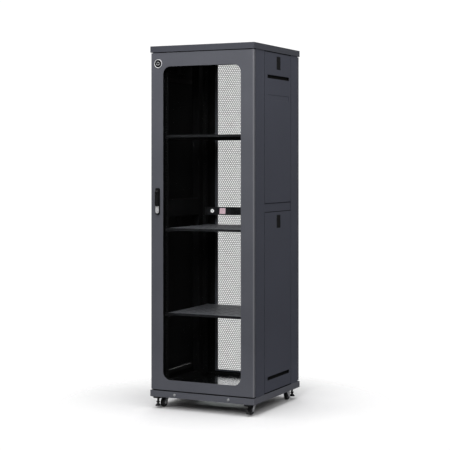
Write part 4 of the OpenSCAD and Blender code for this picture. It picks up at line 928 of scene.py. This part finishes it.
def round_lining(name, centre, size, corner_radius, thickness, span_z):
    """A closed band that follows the inside of a round-cornered cut-out."""
    outline = []
    for number in range(4):
        middle_x = (size[0] / 2 - corner_radius) * (1 if number in (0, 3) else -1)
        middle_y = (size[1] / 2 - corner_radius) * (1 if number in (0, 1) else -1)
        for step in range(9):
            angle = math.radians(90 * number + 90 * step / 8)
            outline.append((middle_x, middle_y, math.cos(angle), math.sin(angle)))
    shape = bmesh.new()
    rings = []
    for radius, level in ((corner_radius, span_z[0]), (corner_radius, span_z[1]),
                          (corner_radius - thickness, span_z[1]),
                          (corner_radius - thickness, span_z[0])):
        ring = []
        for middle_x, middle_y, right, back in outline:
            ring.append(shape.verts.new(
                (centre[0] + middle_x + radius * right, centre[1] + middle_y + radius * back, level)
            ))
        rings.append(ring)
    for first in range(4):
        second = (first + 1) % 4
        for i in range(len(outline)):
            j = (i + 1) % len(outline)
            shape.faces.new((rings[first][i], rings[first][j], rings[second][j], rings[second][i]))
    bmesh.ops.recalc_face_normals(shape, faces=shape.faces)
    piece = piece_of(name, shape)
    piece.data.materials.append(lining_nylon)
    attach(piece, "cabinet")


sheet_low, sheet_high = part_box("floor_panel")
round_lining(
    "roof_entry_lining", centre=(0.0, 0.190), size=(0.2999, 0.0599), corner_radius=0.0079,
    thickness=0.0009, span_z=(cover_top - 0.006, cover_top - 0.0001),
)
round_lining(
    "floor_entry_lining", centre=(0.0, -0.090), size=(0.2599, 0.0999), corner_radius=0.0099,
    thickness=0.002, span_z=(sheet_low.z - 0.001, sheet_high.z + 0.0004),
)

# ---------------------------------------------------------------- roof fans
# Two 120 mm fans screwed under the roof's grilles. Frames and rotors are black moulded
# plastic.
fan_black = moulded("fan_plastic", (0.010, 0.010, 0.011), gloss=0.42)
finish_nodes(fan_black, "fan_frames", "fan_rotor_left", "fan_rotor_right")

# ---------------------------------------------------------------- floor, lights and camera
# A pale studio floor with a painted shadow pool round the cabinet, under soft lamps: above,
# in front, to the right and behind. The studio's front left is kept dim so that the glass stays dark.
floor_mesh = bpy.data.meshes.new("studio_floor")
reach = 6.0
floor_mesh.from_pydata(
    [(-reach, -reach, 0), (reach, -reach, 0), (reach, reach, 0), (-reach, reach, 0)], [],
    [(0, 1, 2, 3)],
)
studio_floor = bpy.data.objects.new("studio_floor", floor_mesh)
bpy.context.scene.collection.objects.link(studio_floor)
floor_paint = bpy.data.materials.new("floor_paint")
floor_paint.use_nodes = True
tree = floor_paint.node_tree
where = add_node(tree, "ShaderNodeTexCoord")
cloud = add_node(tree, "ShaderNodeTexNoise", {"Vector": where.outputs["Object"], "Scale": 2.0})
pale = blended(tree, cloud.outputs["Fac"], (0.72, 0.72, 0.73, 1), (0.75, 0.75, 0.75, 1))
# Painted shade: the floor is darker in the light it bounces, and nearly black in reflections.
sight = add_node(tree, "ShaderNodeLightPath")
bounce_shade = blended(tree, sight.outputs["Is Diffuse Ray"], pale, (0.46, 0.46, 0.47, 1))
mirrored = blended(tree, sight.outputs["Is Glossy Ray"], bounce_shade, (0.04, 0.04, 0.04, 1))
tree.links.new(mirrored, tree.nodes["Principled BSDF"].inputs["Base Color"])
# Painted shadow pool: the floor fades into the white backdrop away from the cabinet, so it shows grey
# only round the base.
away = add_node(tree, "ShaderNodeVectorMath", {0: where.outputs["Object"]}, operation="LENGTH")
shadow_pool_fade = add_node(
    tree, "ShaderNodeMapRange",
    {"Value": away.outputs["Value"], "From Min": 0.42, "From Max": 1.15, "To Min": 1.0, "To Max": 0.0},
    interpolation_type="SMOOTHSTEP",
)
tree.links.new(shadow_pool_fade.outputs["Result"], tree.nodes["Principled BSDF"].inputs["Alpha"])
tree.nodes["Principled BSDF"].inputs["Roughness"].default_value = 0.7
tree.nodes["Principled BSDF"].inputs["Specular IOR Level"].default_value = 0.1
floor_mesh.materials.append(floor_paint)

# A white backdrop to the eye and through the glass, and a softer grey light on the cabinet
world = bpy.data.worlds.new("studio")
bpy.context.scene.world = world
world.use_nodes = True
tree = world.node_tree
tree.nodes.clear()
out = tree.nodes.new("ShaderNodeOutputWorld")
where = add_node(tree, "ShaderNodeTexCoord")
split = add_node(tree, "ShaderNodeSeparateXYZ", {0: where.outputs["Generated"]})
sky = rescaled(tree, split.outputs["Z"], (0.0, 1.0), (0.10, 0.60))
to_left = add_node(
    tree, "ShaderNodeVectorMath", {0: where.outputs["Generated"], 1: (-0.436, -0.9, 0.0)},
    operation="DOT_PRODUCT",
)
dim = rescaled(tree, to_left.outputs["Value"], (0.55, 0.9), (1.0, 0.03))
level = worked(tree, "MULTIPLY", sky, dim)
studio_light = add_node(tree, "ShaderNodeBackground", {"Strength": level})
backdrop = add_node(tree, "ShaderNodeBackground", {"Color": (1, 1, 1, 1), "Strength": 1.05})
path = add_node(tree, "ShaderNodeLightPath")
behind = worked(tree, "GREATER_THAN", split.outputs["Y"], 0.0)
through = worked(tree, "MULTIPLY", path.outputs["Is Transmission Ray"], behind)
to_rear = add_node(
    tree, "ShaderNodeVectorMath", {0: where.outputs["Generated"], 1: (-0.436, 0.9, 0.0)},
    operation="DOT_PRODUCT",
)
rearward = worked(tree, "GREATER_THAN", to_rear.outputs["Value"], 0.85)
mirrored = worked(tree, "MULTIPLY", path.outputs["Is Glossy Ray"], rearward)
passed = worked(tree, "MAXIMUM", through, mirrored)
seen = worked(tree, "MAXIMUM", path.outputs["Is Camera Ray"], passed)
either = add_node(
    tree, "ShaderNodeMixShader", {0: seen, 1: studio_light.outputs[0], 2: backdrop.outputs[0]},
)
tree.links.new(either.outputs[0], out.inputs["Surface"])


def softbox(name, place, aim, size, power, mirrored=True):
    """A square lamp aimed at a point, never seen itself; mirrored says if gloss shows it."""
    lamp = bpy.data.lights.new(name, "AREA")
    lamp.shape = "RECTANGLE"
    lamp.size, lamp.size_y = size
    lamp.energy = power
    holder = bpy.data.objects.new(name, lamp)
    holder.location = place
    holder.rotation_euler = (Vector(aim) - Vector(place)).to_track_quat("-Z", "Y").to_euler()
    holder.visible_camera = False
    holder.visible_transmission = False
    holder.visible_glossy = mirrored
    bpy.context.scene.collection.objects.link(holder)


softbox("overhead", (0.0, -0.6, 4.6), (0.0, 0.0, 0.0), (4.0, 4.0), 165)
softbox("front_key", (0.4, -4.2, 3.4), (0.0, 0.0, 1.3), (2.4, 2.4), 150)
softbox("right_fill", (3.8, 0.2, 3.7), (0.0, 0.0, 1.5), (2.0, 2.0), 62)
softbox("rear_fill", (-2.2, 4.6, 3.2), (0.0, 0.0, 1.1), (2.4, 2.4), 62, mirrored=False)
softbox("edge_strip", (3.9, -1.9, 1.7), (0.3, -0.3, 1.2), (0.4, 2.6), 9)

lens = bpy.data.cameras.new("camera")
lens.lens = 102.3
lens.sensor_width = 36.0
lens.shift_y = -0.1383
lens.clip_end = 200.0
camera = bpy.data.objects.new("camera", lens)
camera.location = (2.9765, -6.1615, 1.285)
camera.rotation_euler = (math.radians(90), 0.0, math.radians(25.85))
bpy.context.scene.collection.objects.link(camera)
bpy.context.scene.camera = camera
bpy.context.scene.view_settings.view_transform = "Standard"
